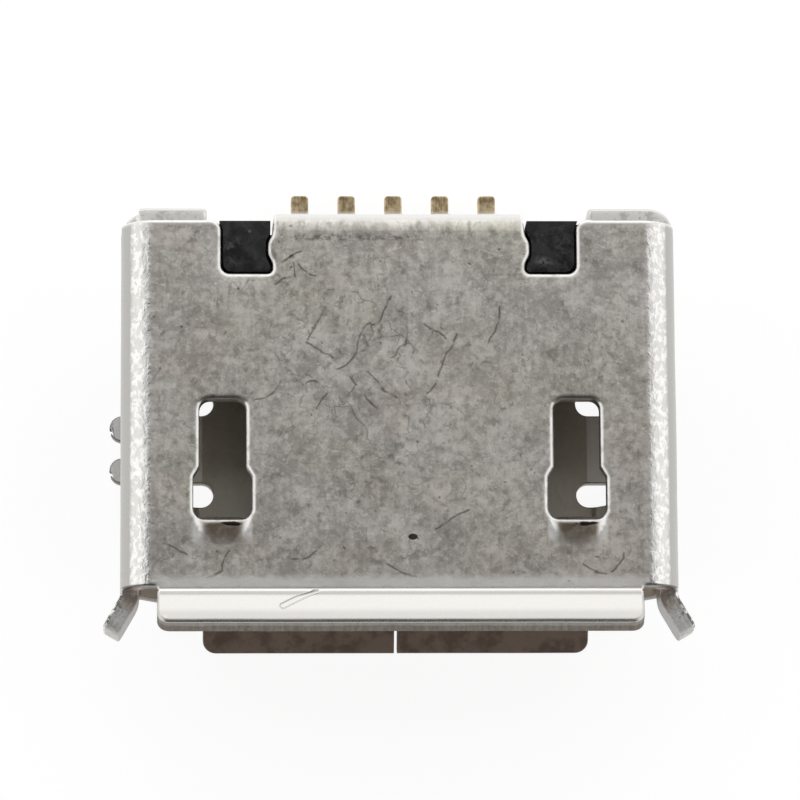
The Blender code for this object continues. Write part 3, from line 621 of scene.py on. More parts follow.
def bevelled_copy(node, name, width, material):
    """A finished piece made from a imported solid: flats joined again and its edges rounded."""
    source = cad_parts[node]
    bm = bmesh.new()
    bm.from_mesh(source.data)
    bmesh.ops.remove_doubles(bm, verts=bm.verts[:], dist=WELD * MM / 10)
    bmesh.ops.dissolve_limit(bm, angle_limit=FLAT_ANGLE, verts=bm.verts[:], edges=bm.edges[:])
    obj = mesh_object(name, bm, material)
    bevel = obj.modifiers.new("soft_edges", "BEVEL")
    bevel.width = width
    bevel.segments = BEVEL_SEGMENTS
    bevel.limit_method = "ANGLE"
    bevel.angle_limit = EDGE_ANGLE
    bevel.use_clamp_overlap = True
    bevel.miter_outer = "MITER_ARC"
    smooth_mesh(obj, SMOOTH_ANGLE)
    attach(obj, "root")
    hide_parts(node)
    return obj


class Value:
    """A socket of a shader tree that takes part in plain arithmetic."""

    def __init__(self, tree, socket):
        self.tree = tree
        self.socket = socket

    def math(self, operation, *others, clamped=False):
        node = self.tree.nodes.new("ShaderNodeMath")
        node.operation = operation
        node.use_clamp = clamped
        for slot, item in zip(node.inputs, (self, *others)):
            connect(self.tree, slot, item)
        return Value(self.tree, node.outputs[0])

    def __add__(self, other):
        return self.math("ADD", other)

    def __sub__(self, other):
        return self.math("SUBTRACT", other)

    def __rsub__(self, other):
        return Value.constant(self.tree, other).math("SUBTRACT", self)

    def __mul__(self, other):
        return self.math("MULTIPLY", other)

    def __truediv__(self, other):
        return self.math("DIVIDE", other)

    def __abs__(self):
        return self.math("ABSOLUTE")

    def __pow__(self, other):
        return self.math("POWER", other)

    __radd__ = __add__
    __rmul__ = __mul__

    def above(self, limit):
        return self.math("GREATER_THAN", limit)

    def higher_of(self, other):
        return self.math("MAXIMUM", other)

    def clamped(self):
        return self.math("ADD", 0.0, clamped=True)

    def ramp(self, start, end):
        """0 at start and below, 1 at end and beyond, smooth between; start may be the larger."""
        node = self.tree.nodes.new("ShaderNodeMapRange")
        node.interpolation_type = "SMOOTHSTEP"
        flip = start > end
        connect(self.tree, node.inputs["Value"], self)
        node.inputs["From Min"].default_value = min(start, end)
        node.inputs["From Max"].default_value = max(start, end)
        node.inputs["To Min"].default_value = 1.0 if flip else 0.0
        node.inputs["To Max"].default_value = 0.0 if flip else 1.0
        return Value(self.tree, node.outputs[0])

    @staticmethod
    def constant(tree, number):
        node = tree.nodes.new("ShaderNodeValue")
        node.outputs[0].default_value = number
        return Value(tree, node.outputs[0])


def connect(tree, slot, item):
    """Link a wrapped socket to an input, or set the input to a plain value."""
    if isinstance(item, Value):
        tree.links.new(item.socket, slot)
        return
    if hasattr(slot.default_value, "__len__"):
        item = tuple(item)
        size = len(slot.default_value)
        slot.default_value = item + (1.0,) * (size - len(item))
        return
    slot.default_value = item


class Finish:
    """A new material, with one method that makes any node in it."""

    def __init__(self, name):
        self.material = bpy.data.materials.new(name)
        self.material.use_nodes = True
        self.tree = self.material.node_tree
        self.tree.nodes.clear()
        self.place = None
        self.base = None

    def node(self, kind, settings, sockets, out=0):
        """Make a node: its settings come first, then the values or links of its sockets."""
        made = self.tree.nodes.new(kind)
        for name, value in settings.items():
            setattr(made, name, value)
        for name, item in sockets.items():
            connect(self.tree, made.inputs[name], item)
        return Value(self.tree, made.outputs[out])

    def vector(self, operation, first, second):
        return self.node("ShaderNodeVectorMath", {"operation": operation}, {0: first, 1: second})

    def paint_by_object(self):
        """Paint by the place on the object, in millimetres."""
        spot = self.node("ShaderNodeTexCoord", {}, {}, "Object")
        self.place = self.vector("MULTIPLY", spot, (1 / MM, 1 / MM, 1 / MM))

    def parts(self, vector):
        split_up = self.node("ShaderNodeSeparateXYZ", {}, {0: vector})
        outputs = split_up.socket.node.outputs
        return [Value(self.tree, outputs[i]) for i in range(3)]

    def where(self, stretch=None, shift=None, push=None):
        """The painted place: stretched, shifted, then pushed about by noise of a scale and amount."""
        place = self.place
        if stretch:
            place = self.vector("MULTIPLY", place, stretch)
        if shift:
            place = self.vector("ADD", place, shift)
        if push:
            scale, amount = push
            cloud = self.node("ShaderNodeTexNoise", {}, {"Vector": place, "Scale": scale, "Detail": 2.0},
                              "Color")
            centred = self.vector("SUBTRACT", cloud, (0.5, 0.5, 0.5))
            place = self.vector("ADD", place, self.vector("MULTIPLY", centred, (amount, amount, amount)))
        return place

    def noise(self, scale, detail=2.0, rough=0.5, **change):
        """Noise; the change says how the place is stretched, shifted and pushed."""
        return self.node("ShaderNodeTexNoise", {}, {"Vector": self.where(**change), "Scale": scale,
                                                    "Detail": detail, "Roughness": rough})

    def cells(self, scale, feature="F1", **change):
        """Distance to the middle of the nearest random cell."""
        return self.node("ShaderNodeTexVoronoi", {"feature": feature},
                         {"Vector": self.where(**change), "Scale": scale})

    def cracks(self, scale, **change):
        """Distance to the nearest border of random cells."""
        return self.cells(scale, "DISTANCE_TO_EDGE", **change)

    def spot(self, u, v, centre, size):
        """1 at a centre, fading to 0 at the given half sizes."""
        du = (u - centre[0]) / size[0]
        dv = (v - centre[1]) / size[1]
        return ((du * du + dv * dv) ** 0.5).ramp(1.0, 0.0)

    def spots(self, u, v, places):
        """The sum of spots, each given as centre, half sizes and strength."""
        return sum(strength * self.spot(u, v, centre, size) for centre, size, strength in places)

    def mix(self, share, low, high, blend="MIX"):
        """Mix two colours."""
        return self.node("ShaderNodeMix", {"data_type": "RGBA", "blend_type": blend},
                         {0: share, 6: low, 7: high}, 2)

    def lay(self, share, coat, blend="MIX"):
        """Lay a colour over the base colour, by a share."""
        self.base = self.mix(share, self.base, coat, blend)

    def covered(self, height, depth, **values):
        """The finished material: the base colour, bumps of a depth, and values by their sockets' names."""
        normal = self.node("ShaderNodeBump", {}, {"Height": height, "Distance": depth, "Strength": 1.0})
        sockets = {"Base Color": self.base, "Normal": normal}
        for name, item in values.items():
            sockets[name.replace("_", " ").title().replace("Ior", "IOR")] = item
        return self.surface(self.node("ShaderNodeBsdfPrincipled", {}, sockets, "BSDF"))

    def surface(self, shader):
        output = self.tree.nodes.new("ShaderNodeOutputMaterial")
        self.tree.links.new(shader.socket, output.inputs["Surface"])
        return self.material


class SheetFinish(Finish):
    """A finish of the shell, painted by the place in the flat blank that is kept on its mesh."""

    def __init__(self, name, colours, shape):
        super().__init__(name)
        self.colours = colours
        self.half = shape.sheet / 2
        self.bend = shape.u_top
        self.fold = shape.fold_y
        self.window = shape.fold_y + WINDOW_FROM_FOLD
        self.place = self.node("ShaderNodeAttribute", {"attribute_name": "blank"}, {}, "Vector")
        self.u, self.v, self.w = self.parts(self.place)
        self.a = abs(self.u)

    def past_bend(self, start, end):
        """Ramp outwards, in millimetres from where the wide plate bends down."""
        return self.a.ramp(self.bend + start, self.bend + end)

    def behind_fold(self, start, end):
        """Ramp to the rear, in millimetres from the fold of the upper lip."""
        return self.v.ramp(self.fold + start, self.fold + end)

    def behind_window(self, start, end):
        """Ramp to the rear, in millimetres from the front end of the windows."""
        return self.v.ramp(self.window + start, self.window + end)

    def behind_plate(self, start, end):
        """Ramp to the rear, in millimetres from the rear end of the wide plate."""
        return self.v.ramp(PLATE_REAR + start, PLATE_REAR + end)


# Hair scratches that stand out on the wide plate: start, middle and end in blank millimetres
HAIRS = (
    ((-0.96, 1.29), (-1.12, 1.04), (-1.25, 0.80)),
    ((-1.27, 0.80), (-1.10, 0.70), (-0.86, 0.56)),
    ((-0.37, 1.09), (-0.52, 0.92), (-0.56, 0.70)),
    ((-0.55, 0.75), (-0.66, 0.53), (-0.88, 0.42)),
    ((-0.40, 1.09), (-0.38, 1.00), (-0.34, 0.92)),
    ((-0.10, 1.44), (-0.17, 1.31), (-0.23, 1.15)),
    ((-0.21, 1.20), (-0.27, 1.08), (-0.41, 1.05)),
    ((0.08, 1.04), (0.11, 0.88), (0.07, 0.72)),
    ((0.32, 1.06), (0.48, 0.94), (0.66, 0.84)),
    ((0.77, 0.93), (0.74, 0.80), (0.62, 0.63)),
    ((0.64, 0.67), (0.57, 0.47), (0.50, 0.30)),
    ((0.48, 0.25), (0.43, 0.15), (0.37, 0.07)),
    ((-1.97, 0.00), (-1.74, 0.07), (-1.60, 0.29)),
    ((-1.28, 0.21), (-1.20, 0.27), (-1.10, 0.23)),
    ((-0.70, 0.37), (-0.64, 0.28), (-0.56, 0.19)),
    ((-0.46, 0.41), (-0.33, 0.27), (-0.20, 0.13)),
    ((-0.26, 0.17), (-0.14, 0.09), (-0.01, 0.03)),
    ((-0.47, 0.10), (-0.39, -0.03), (-0.29, -0.13)),
    ((-0.97, 0.12), (-1.06, 0.00), (-1.12, -0.15)),
    ((-2.27, -2.03), (-2.36, -2.18), (-2.38, -2.32)),
    ((-2.37, -2.30), (-2.49, -2.37), (-2.61, -2.43)),
    ((-3.20, -1.94), (-3.04, -1.99), (-2.83, -2.11)),
    ((-1.53, -2.14), (-1.34, -2.16), (-1.10, -2.04)),
    ((2.44, -2.20), (2.60, -2.33), (2.78, -2.36)),
    ((2.80, -2.34), (2.92, -2.24), (3.00, -2.06)),
    ((1.36, 1.32), (1.30, 1.00), (1.16, 0.74)),
    ((-1.60, 1.88), (-1.45, 1.98), (-1.30, 2.06)),
    ((-1.37, 1.89), (-1.26, 1.78), (-1.10, 1.70)),
    ((-1.68, 1.58), (-1.57, 1.65), (-1.46, 1.69)),
    ((-1.43, 1.90), (-1.41, 1.79), (-1.42, 1.68)),
    ((-0.21, -2.19), (0.00, -2.33), (0.24, -2.41)),
    ((0.43, -1.78), (0.68, -1.62), (0.94, -1.48)),
)
HAIR_WIDTH = 0.0253
HAIR_SHAKE = (6.0, 0.075)           # noise scale and push that make the hairs uneven
DENT_START = (-1.572, -2.885)
DENT_END = (-1.135, -2.62)
DENT_WIDTH = 0.043
SMUDGE_LINE = 2.235

# Spots by their middles and half sizes, and strengths where several add up
CROWD = (-0.35, 0.55), (2.3, 2.0)   # the area with most fine scratches
LIP_GLINT = (-3.14, -3.06), (0.05, 0.05)
BROWN_DOT = (0.165, -1.86), (0.098, 0.066)
DARK_SPOTS = ((-1.45, 1.96), (-0.13, -0.75), (-0.01, -0.86), (-0.56, -1.38), (-1.22, -1.43))
DARK_SPOT_SIZE = (0.062, 0.046)
STAINS = (((-2.22, -1.86), (0.42, 0.30), 1.0), ((2.50, -1.88), (0.50, 0.30), 1.0),
          ((-0.35, -2.05), (0.55, 0.30), 0.7))
# Painted shade: thin dark lines just ahead of the windows' front ends
WINDOW_FRONT_SHADE = (((-2.265, -1.648), (0.22, 0.036), 1.0), ((2.485, -1.651), (0.24, 0.038), 1.0))
MOULDING_SMEARS = (((-2.28, 2.05), (0.22, 0.34), 1.0), ((2.1, 2.1), (0.5, 0.5), 0.6))
MOULDING_STREAK = (2.72, 1.92), (0.17, 0.10)
MOULDING_SPECK = (-2.01, 2.33), (0.035, 0.035)

# Stretches round the section, in blank millimetres from the middle of the wide plate
WALL_START = 3.5
EAR_START = 3.7
EAR_END = 4.6
WING_TIP = 4.75
WING_ROOT = 6.1


class PlatedSheet(SheetFinish):
    """Tin plate that was rolled, stamped and handled: mottled grey, hair scratches, bright bends with
    painted highlights.
    """

    def __init__(self, colours, shape):
        super().__init__("plated_sheet", colours, shape)
        self.outer = self.w.above(0.0)
        self.on_plate = self.past_bend(0.07, 0.03) * self.behind_fold(0.0, 0.05)
        self.on_plate = self.on_plate * self.behind_plate(-0.03, -0.10)
        self.off_plate = (1 - self.on_plate).clamped() * self.outer
        self.on_lip = self.behind_fold(0.04, -0.01)
        self.on_wall = self.past_bend(0.25, 0.30) * self.outer
        self.on_bend = self.past_bend(0.02, 0.08) * self.past_bend(0.30, 0.26)
        self.on_bend = self.on_bend * self.behind_fold(0.01, 0.07) * self.outer
        self.lighter_strip = self.behind_fold(0.23, 0.11)
        self.off_window = abs(self.a - WINDOW_SPACING / 2)
        self.shaken = self.where(push=HAIR_SHAKE)
        self.shaken_u, self.shaken_v, _ = self.parts(self.shaken)
        self.patches = self.noise(2.0, 4.0, 0.62, push=(2.2, 0.30))
        self.grain = self.noise(8.5, 3.0, 0.6)
        self.speck = self.noise(30.0)
        self.streaks = self.noise(26.0, stretch=(1.0, 0.07, 1.0))
        self.granules = self.noise(19.0, 2.0, 0.6, stretch=(1.0, 0.55, 1.0), push=(9.0, 0.06))
        self.hairs = self.scratches()
        # Painted highlights: small glints on the wide plate, laid in near-white and made a little less
        # rough
        self.glints = self.cells(9.0, shift=(4.7, 3.2, 0), push=(9.0, 0.05)).ramp(0.20, 0.08)
        self.glints = self.glints * self.noise(3.6, shift=(0, 0, 4.0)).ramp(0.48, 0.60) * self.on_plate
        # Painted highlight along the crest of the lip's fold, and a painted glint at the lip's corner
        rub_and_highlight = self.behind_fold(0.02, 0.0) * self.behind_fold(-0.09, -0.05) * self.past_bend(0.03, -0.05)
        self.bead = (rub_and_highlight + self.spot(self.u, self.v, *LIP_GLINT)) * self.outer

    def hair(self, start, middle, end):
        """A hair scratch through three points: 1 on the line, thinner towards its ends."""
        span = Vector(end) - Vector(start)
        sag = ((middle[1] - start[1]) * span.x - (middle[0] - start[0]) * span.y) / span.length
        laid = self.node("ShaderNodeMapping", {"vector_type": "TEXTURE"},
                         {"Vector": self.shaken, "Location": (*start, 0),
                          "Rotation": (0, 0, atan2(span.y, span.x)), "Scale": (span.length, 1, 1)})
        along, across, _ = self.parts(laid)
        bow = along - along * along
        off = bow.math("MULTIPLY_ADD", -4 * sag, across)
        return abs(off).ramp(HAIR_WIDTH, 0.0) * bow.ramp(-0.005, 0.075)

    def scratches(self):
        """Nets of fine cracks in patches, and the hairs that stand out."""
        net = self.cracks(0.95, push=(1.3, 0.9)).ramp(0.019, 0.004)
        net = net * self.noise(1.9, 3.0, shift=(5.0, 2.0, 0)).ramp(0.55, 0.63)
        fine = self.cracks(2.3, shift=(1.3, 4.7, 0), push=(2.4, 0.55)).ramp(0.026, 0.005)
        fine = fine * self.noise(3.1, shift=(2.6, 6.1, 0)).ramp(0.57, 0.64)
        flecks = self.cracks(4.2, shift=(7.7, 0.4, 0), push=(5.0, 0.22)).ramp(0.060, 0.015)
        flecks = flecks * self.noise(5.2, shift=(0.9, 3.3, 0)).ramp(0.52, 0.62)
        crowded = 0.35 + 0.45 * self.spot(self.u, self.v, *CROWD)
        hairs = net.higher_of(fine).higher_of(0.9 * flecks) * crowded
        for start, middle, end in HAIRS:
            hairs = hairs.higher_of(self.hair(start, middle, end))
        broken = self.noise(7.0).ramp(0.30, 0.52)
        return hairs * (0.25 + 0.75 * broken) * self.outer * (1 - self.lighter_strip)

    def lay_mottle(self):
        """Dull and clean patches, dark blots, bright flakes, two faint tints and the lighter strip beside
        the fold.
        """
        colours = self.colours
        tone = 0.38 * self.patches + 0.38 * self.grain + 0.16 * self.speck + 0.08 * self.streaks
        self.base = self.mix(tone.ramp(0.38, 0.62), colours.plate_dark, colours.plate_light)
        behind_strip = self.behind_fold(0.27, 0.37)
        blots = self.noise(5.5, 3.0, 0.6, shift=(6.2, 4.4, 0), push=(4.0, 0.14)).ramp(0.56, 0.68)
        self.lay(blots * 0.34 * behind_strip, colours.scratch_and_shade)
        flakes = self.noise(9.0, 2.0, 0.6, shift=(1.9, 7.3, 0), push=(6.0, 0.10)).ramp(0.61, 0.70)
        self.lay(flakes * 0.42 * behind_strip, colours.rub_and_highlight)
        pink = self.noise(0.9, 3.0, shift=(3.1, 8.2, 0)).ramp(0.46, 0.70)
        self.lay(pink * 0.5, colours.pink_tint, "MULTIPLY")
        green = self.noise(0.8, 3.0, shift=(9.4, 1.7, 0)).ramp(0.46, 0.68)
        self.lay(green * 0.6, colours.green_tint, "MULTIPLY")
        self.lay(self.lighter_strip * self.on_plate * 0.95, colours.plate_near_lip)

    def lay_marks(self):
        """Brown haze, scratches and pits, glints, and one brown dot."""
        colours = self.colours
        stain = self.spots(self.u, self.v, STAINS).clamped() * self.noise(5.0, 3.0).ramp(0.36, 0.62)
        self.lay(stain * 0.55 * self.outer, colours.stain)
        pits = self.cells(6.0, shift=(0.7, 0.2, 0), push=(9.0, 0.12)).ramp(0.16, 0.06)
        pits = pits * self.noise(3.8, 1.0).ramp(0.50, 0.60) * self.outer * (1 - self.on_lip)
        for centre in DARK_SPOTS:
            pits = pits.higher_of(self.spot(self.shaken_u, self.shaken_v, centre, DARK_SPOT_SIZE))
        self.lay((self.hairs * 0.78 + pits * 0.60).clamped() * (1 - self.on_lip), colours.scratch_and_shade)
        self.lay(self.glints * 0.6, colours.rub_and_highlight)
        dot = self.spot(self.u, self.v, *BROWN_DOT).ramp(0.20, 0.40)
        self.lay(dot * self.outer * 0.95, colours.dot)

    def lay_bright_metal(self):
        """Metal off the wide plate, the side walls in a darker painted shade, painted highlight grains on
        the bends and a painted highlight on the bead at the lip's fold.
        """
        colours = self.colours
        self.lay(self.off_plate * 0.85, colours.bright_plate)
        # Painted shade: the side walls get a darker copy of the plating
        self.lay(self.on_wall * 0.92, colours.side_plate)
        # Painted highlights: bright grains on the bends
        self.lay(self.on_bend * self.granules.ramp(0.46, 0.60), colours.rub_and_highlight)
        self.lay(self.bead.clamped() * 0.95, colours.rub_and_highlight)

    def lay_smudge(self):
        """A broken dark smudge ahead of the rear fold."""
        line = abs(self.shaken_v - SMUDGE_LINE).ramp(0.075, 0.01)
        line = line * self.u.ramp(-1.55, -1.35) * self.u.ramp(0.45, 0.15)
        broken = self.noise(8.0, 3.0, 0.65, stretch=(1.3, 2.0, 1.0)).ramp(0.44, 0.58)
        self.lay(line * broken * self.outer * 0.65, self.colours.scratch_and_shade)

    def lay_rims(self):
        """Rolled rims of the cut-outs: painted highlight by place, painted shade on the rims behind the
        windows and in the notches beside the ears.
        """
        colours = self.colours
        rolled = self.w.ramp(self.half - 0.0008, self.half - 0.008) * self.outer
        rolled = rolled * self.past_bend(0.48, 0.43)
        # Painted shade on the rolled rim at the rear end of each window
        window_end = self.off_window.ramp(0.40, 0.30)
        window_end = window_end * self.behind_window(WINDOW_LENGTH - 0.07, WINDOW_LENGTH - 0.02)
        window_end = window_end * self.behind_window(WINDOW_LENGTH + 0.28, WINDOW_LENGTH + 0.18)
        uneven = 0.45 + 0.55 * self.noise(5.0, 3.0, 0.6, push=(4.0, 0.2)).ramp(0.36, 0.52)
        uneven = uneven * (0.45 + 0.55 * self.behind_window(0.005, 0.085))
        # Painted highlight on the rolled rims
        self.lay(rolled * uneven * self.behind_window(-0.155, -0.115) * (1 - window_end), colours.rub_and_highlight)
        self.lay(rolled * window_end * 0.7, colours.scratch_and_shade)
        # Painted shade on the rolled rims in the notches between the lip and the ears
        self.lay(rolled * self.behind_fold(0.19, 0.13) * self.past_bend(-0.07, 0.03) * 0.85,
                 colours.scratch_and_shade)

    def lay_ends(self):
        """The upper lip, a strip of painted shade along its front and a painted highlight on the rear fold.
        """
        colours = self.colours
        self.lay(self.on_lip * self.outer * 0.7 * (1 - self.bead).clamped(), colours.bright_plate)
        # Painted shade: a grey strip along the lip's front
        front = self.behind_fold(-0.33, -0.45) * self.past_bend(0.13, 0.03)
        self.lay(front * self.outer * 0.45, colours.side_plate)
        # Painted highlight on the rear fold
        self.lay(self.behind_plate(-0.08, -0.01) * self.outer * 0.6, colours.rub_and_highlight)

    def lay_lead_ins(self):
        """Painted highlights on the flanks of the lead-ins, painted shade in their middles, and painted
        shade lines at the windows' front ends.
        """
        colours = self.colours
        # Painted highlight on the flanks of the lead-ins
        flank = (self.off_window + 0.5 * (self.window - 0.095 - self.v)).ramp(0.22, 0.30)
        flank = flank * self.off_window.ramp(0.42, 0.37)
        flank = flank * self.behind_window(-0.395, -0.195) * self.behind_window(0.105, -0.015)
        self.lay(flank * self.outer * 0.95, colours.rub_and_highlight)
        # Painted shade in the middles of the lead-ins
        brown_shade = self.off_window.ramp(0.31, 0.22) * self.outer
        brown_shade = brown_shade * self.behind_window(-0.385, -0.155) * self.behind_window(-0.015, -0.055)
        self.lay(brown_shade * (0.55 + 0.45 * self.noise(7.0, 3.0).ramp(0.40, 0.60)), colours.brown_shade)
        # Painted shade lines at the windows' front ends
        shade = self.spots(self.shaken_u, self.shaken_v, WINDOW_FRONT_SHADE).ramp(0.10, 0.50)
        self.lay(shade * self.noise(9.0).ramp(0.30, 0.42) * self.outer, colours.black_shade_and_dirt)

    def lay_inner_side(self):
        """The inner side with the lower lip, the ears and the solder wings, and the ears' torn rim."""
        colours = self.colours
        inner = 1 - self.outer
        turned_out = self.behind_fold(0.11, 0.03)
        self.lay(inner * 0.8, self.mix(self.a.ramp(5.0, 6.6), colours.inner_warm, colours.inner_cool))
        ear_rim = self.outer * self.a.above(EAR_START) * self.a.ramp(3.98, 3.92)
        torn = self.noise(11.0, 3.0, 0.65).ramp(0.40, 0.60)
        self.lay(ear_rim * self.behind_fold(0.07, 0.01) * 0.9,
                 self.mix(torn, colours.scratch_and_shade, colours.rub_and_highlight))
        blotches = self.noise(3.4, 4.0, 0.7).ramp(0.44, 0.64)
        self.lay(inner * self.a.above(EAR_END) * turned_out,
                 self.mix(blotches * 0.4, colours.far_lip, colours.black_shade_and_dirt))
        on_ear = self.a.above(EAR_START) * (1 - self.a.above(EAR_END))
        self.lay(inner * on_ear * turned_out, colours.ear_inside)
        # Painted light: the wings' upper side is laid near-white to lighten them where they lie in shade
        on_wing = self.a.above(WING_TIP) * (1 - self.a.above(WING_ROOT))
        on_wing = on_wing * abs(self.v + WING_FROM_KEY).ramp(WING_WIDTH / 2 + 0.03, WING_WIDTH / 2)
        self.lay(inner * on_wing, colours.wing)

    def lay_dent(self):
        """A small dent on the lip, with painted shade along one side of its rim; returns its height."""
        run = Vector(DENT_END) - Vector(DENT_START)
        way = run.normalized()
        step_u = self.u - DENT_START[0]
        step_v = self.v - DENT_START[1]
        past = abs(step_u * way.x + step_v * way.y - run.length / 2) - run.length / 2
        side = step_v * way.x - step_u * way.y
        off = (past.higher_of(0.0) ** 2.0 + side * side) ** 0.5
        rim = abs(off / DENT_WIDTH - 1.0).ramp(0.34, 0.0)
        self.lay(rim * side.ramp(-0.02, 0.03) * self.outer * 0.45, self.colours.scratch_and_shade)
        return 0.6 * rim - 0.5 * off.ramp(DENT_WIDTH, 0.0)

    def made(self):
        """Lay the coats in their order and close the material."""
        self.lay_mottle()
        self.lay_marks()
        self.lay_bright_metal()
        self.lay_smudge()
        self.lay_rims()
        self.lay_ends()
        self.lay_lead_ins()
        self.lay_inner_side()
        dent = self.lay_dent()
        rough = (0.42 + 0.10 * (self.patches - 0.5) + 0.16 * (self.grain - 0.5) + 0.14 * self.hairs
                 - 0.10 * self.glints - 0.14 * self.off_plate)
        relief = 0.30 * self.patches + 0.20 * self.grain + 0.12 * self.speck + 0.10 * self.streaks - 0.36
        bead = self.behind_fold(0.018, -0.036) - 0.5 * self.behind_fold(-0.05, -0.21)
        height = (relief * (1 - 0.85 * self.on_wall) * (1 - 0.96 * self.on_lip)
                  + 1.05 * self.on_bend * self.granules + 0.6 * dent * self.outer
                  + 1.2 * bead * self.outer * self.past_bend(0.13, -0.07))
        return self.covered(height, 0.010 * MM, metallic=1.0, roughness=rough.clamped())


def sheared_edge_finish(colours, shape):
    """The cut through the sheet: a burnished upper band over a torn one, greyer or browner by place."""
    f = SheetFinish("sheared_edge", colours, shape)
    drawn = f.noise(26.0, 3.0, 0.6, stretch=(1.0, 1.0, 0.10))
    torn = f.noise(16.0, 3.0, 0.6)
    burnished = (f.w + 0.05 * (f.noise(4.0) - 0.5)).ramp(-0.01, 0.03)
    f.base = f.mix((0.6 * drawn + 0.4 * torn).ramp(0.32, 0.66), colours.cut_dark, colours.cut_light)
    on_ear = f.a.above(WALL_START) * (1 - f.a.above(EAR_END)) * f.behind_fold(0.13, 0.07)
    ear = f.mix(f.behind_fold(-0.09, -0.25), colours.ear_cut_brown, colours.ear_cut_grey)
    ragged = f.noise(12.0, 4.0, 0.7, shift=(0, 3.0, 0))
    ear = f.mix(ragged.ramp(0.50, 0.64) * (0.25 + 0.6 * f.w.ramp(-0.04, 0.06)), ear, colours.cut_dark)
    ear = f.mix(ragged.ramp(0.46, 0.34) * f.behind_fold(-0.23, -0.03) * 0.6, ear, colours.bar)
    f.lay(on_ear, ear)
    on_bar = f.a.above(WALL_START) * f.behind_plate(-1.28, -1.18)
    mottle = 0.4 + 0.6 * f.noise(6.0, 3.0, 0.6, push=(6.0, 0.1)).ramp(0.34, 0.50)
    f.lay(on_bar, f.mix(mottle, colours.side_plate, colours.bar))
    f.lay(burnished * 0.25 * (1 - on_bar), colours.side_plate)
    f.lay(f.cells(9.0).ramp(0.30, 0.12) * torn.ramp(0.5, 0.6) * 0.6, colours.scratch_and_shade)
    height = (0.7 * drawn + 0.6 * torn * (1 - burnished)) * (1 - 0.85 * on_bar)
    return f.covered(height, 0.008 * MM, metallic=0.85, roughness=0.55 - 0.15 * burnished)


def moulding_finish(colours):
    """Black moulded plastic, dull, with pale smears and dust."""
    f = Finish("black_moulding")
    f.paint_by_object()
    x, y, _ = f.parts(f.place)
    cloud = f.noise(4.2, 4.0, 0.65, push=(3.0, 0.35))
    skin = f.noise(24.0, 3.0, 0.6)
    f.base = f.mix(cloud.ramp(0.42, 0.62), colours.moulding, colours.moulding_worn)
    smear = f.noise(7.0, 3.0, 0.6, push=(4.0, 0.25)).ramp(0.50, 0.66)
    f.lay(smear * (0.15 + 0.75 * f.spots(x, y, MOULDING_SMEARS)).clamped(), colours.smear)
    streak = f.spot(x + 0.4 * y, y, *MOULDING_STREAK) * skin.ramp(0.35, 0.55)
    dust = f.cells(8.0).ramp(0.16, 0.08) * f.noise(3.2, 1.0).ramp(0.55, 0.66)
    speck = f.spot(x, y, *MOULDING_SPECK)
    f.lay((streak * 0.8 + 0.4 * dust + 0.7 * speck).clamped(), colours.dust)
    rough = 0.50 + 0.16 * (skin - 0.5) - 0.10 * cloud
    return f.covered(0.7 * cloud + 0.3 * skin, 0.010 * MM, metallic=0.0, roughness=rough.clamped(),
                     specular_ior_level=0.35)


def gilt_finish(colours):
    """Thin gold over nickel: drawn along the contact, browned in patches, with a painted highlight on the
    tails by the shell and on the higher parts.
    """
    f = Finish("gilt_contact")
    f.paint_by_object()
    _, y, z = f.parts(f.place)
    drawn = f.noise(34.0, 3.0, 0.6, stretch=(1.0, 0.10, 1.0))
    patches = f.noise(7.5, 4.0, 0.65, push=(5.0, 0.15))
    f.base = f.mix((0.38 * drawn + 0.62 * patches).ramp(0.40, 0.60), colours.gilt_brown, colours.gilt)
    f.lay(f.cells(12.0).ramp(0.22, 0.10) * patches.ramp(0.5, 0.6) * 0.5, colours.gilt_brown)
    # Painted highlight on the tails' ends by the shell and on the parts above the board
    tail_end = y.ramp(3.14, 3.08) * y.above(2.3)
    f.lay(tail_end.higher_of(z.ramp(0.17, 0.26)) * 0.8, colours.gilt_highlight)
    rough = 0.36 + 0.16 * (patches - 0.5) + 0.10 * (drawn - 0.5)
    return f.covered(0.6 * drawn + 0.5 * patches, 0.006 * MM, metallic=1.0, roughness=rough.clamped())


def floor_finish(colours, shadow, glow):
    """Pale floor that reads as the white ground and keeps the soft shadow."""
    f = Finish("pale_floor")
    seen = sum(f.node("ShaderNodeLightPath", {}, {}, ray)
               for ray in ("Is Camera Ray", "Is Glossy Ray", "Is Transmission Ray")).clamped()
    shine = f.node("ShaderNodeEmission", {}, {"Color": colours.floor, "Strength": glow})
    kept = f.node("ShaderNodeBsdfDiffuse", {}, {"Color": (shadow, shadow, shadow)})
    ground = f.node("ShaderNodeAddShader", {}, {0: shine, 1: kept})
    plain = f.node("ShaderNodeBsdfDiffuse", {}, {"Color": colours.floor})
    return f.surface(f.node("ShaderNodeMixShader", {}, {0: seen, 1: plain, 2: ground}))


def card_finish(name, level):
    """A dull card of one grey, which shades the metal as a photographer's card does."""
    f = Finish(name)
    return f.surface(f.node("ShaderNodeEmission", {}, {"Color": (level, level, level), "Strength": 1.0}))


def length(name, description, millimetres):
    return FloatProperty(name=name, description=description, default=millimetres * MM, unit="LENGTH")


def bend_angle(name, description, degrees):
    return FloatProperty(name=name, description=description, default=radians(degrees), subtype="ANGLE")


def dial(name, description, value):
    return FloatProperty(name=name, description=description, default=value)


def colour(name, description, value):
    return FloatVectorProperty(name=name, description=description, default=value, size=3, subtype="COLOR",
                               min=0.0, max=1.0)


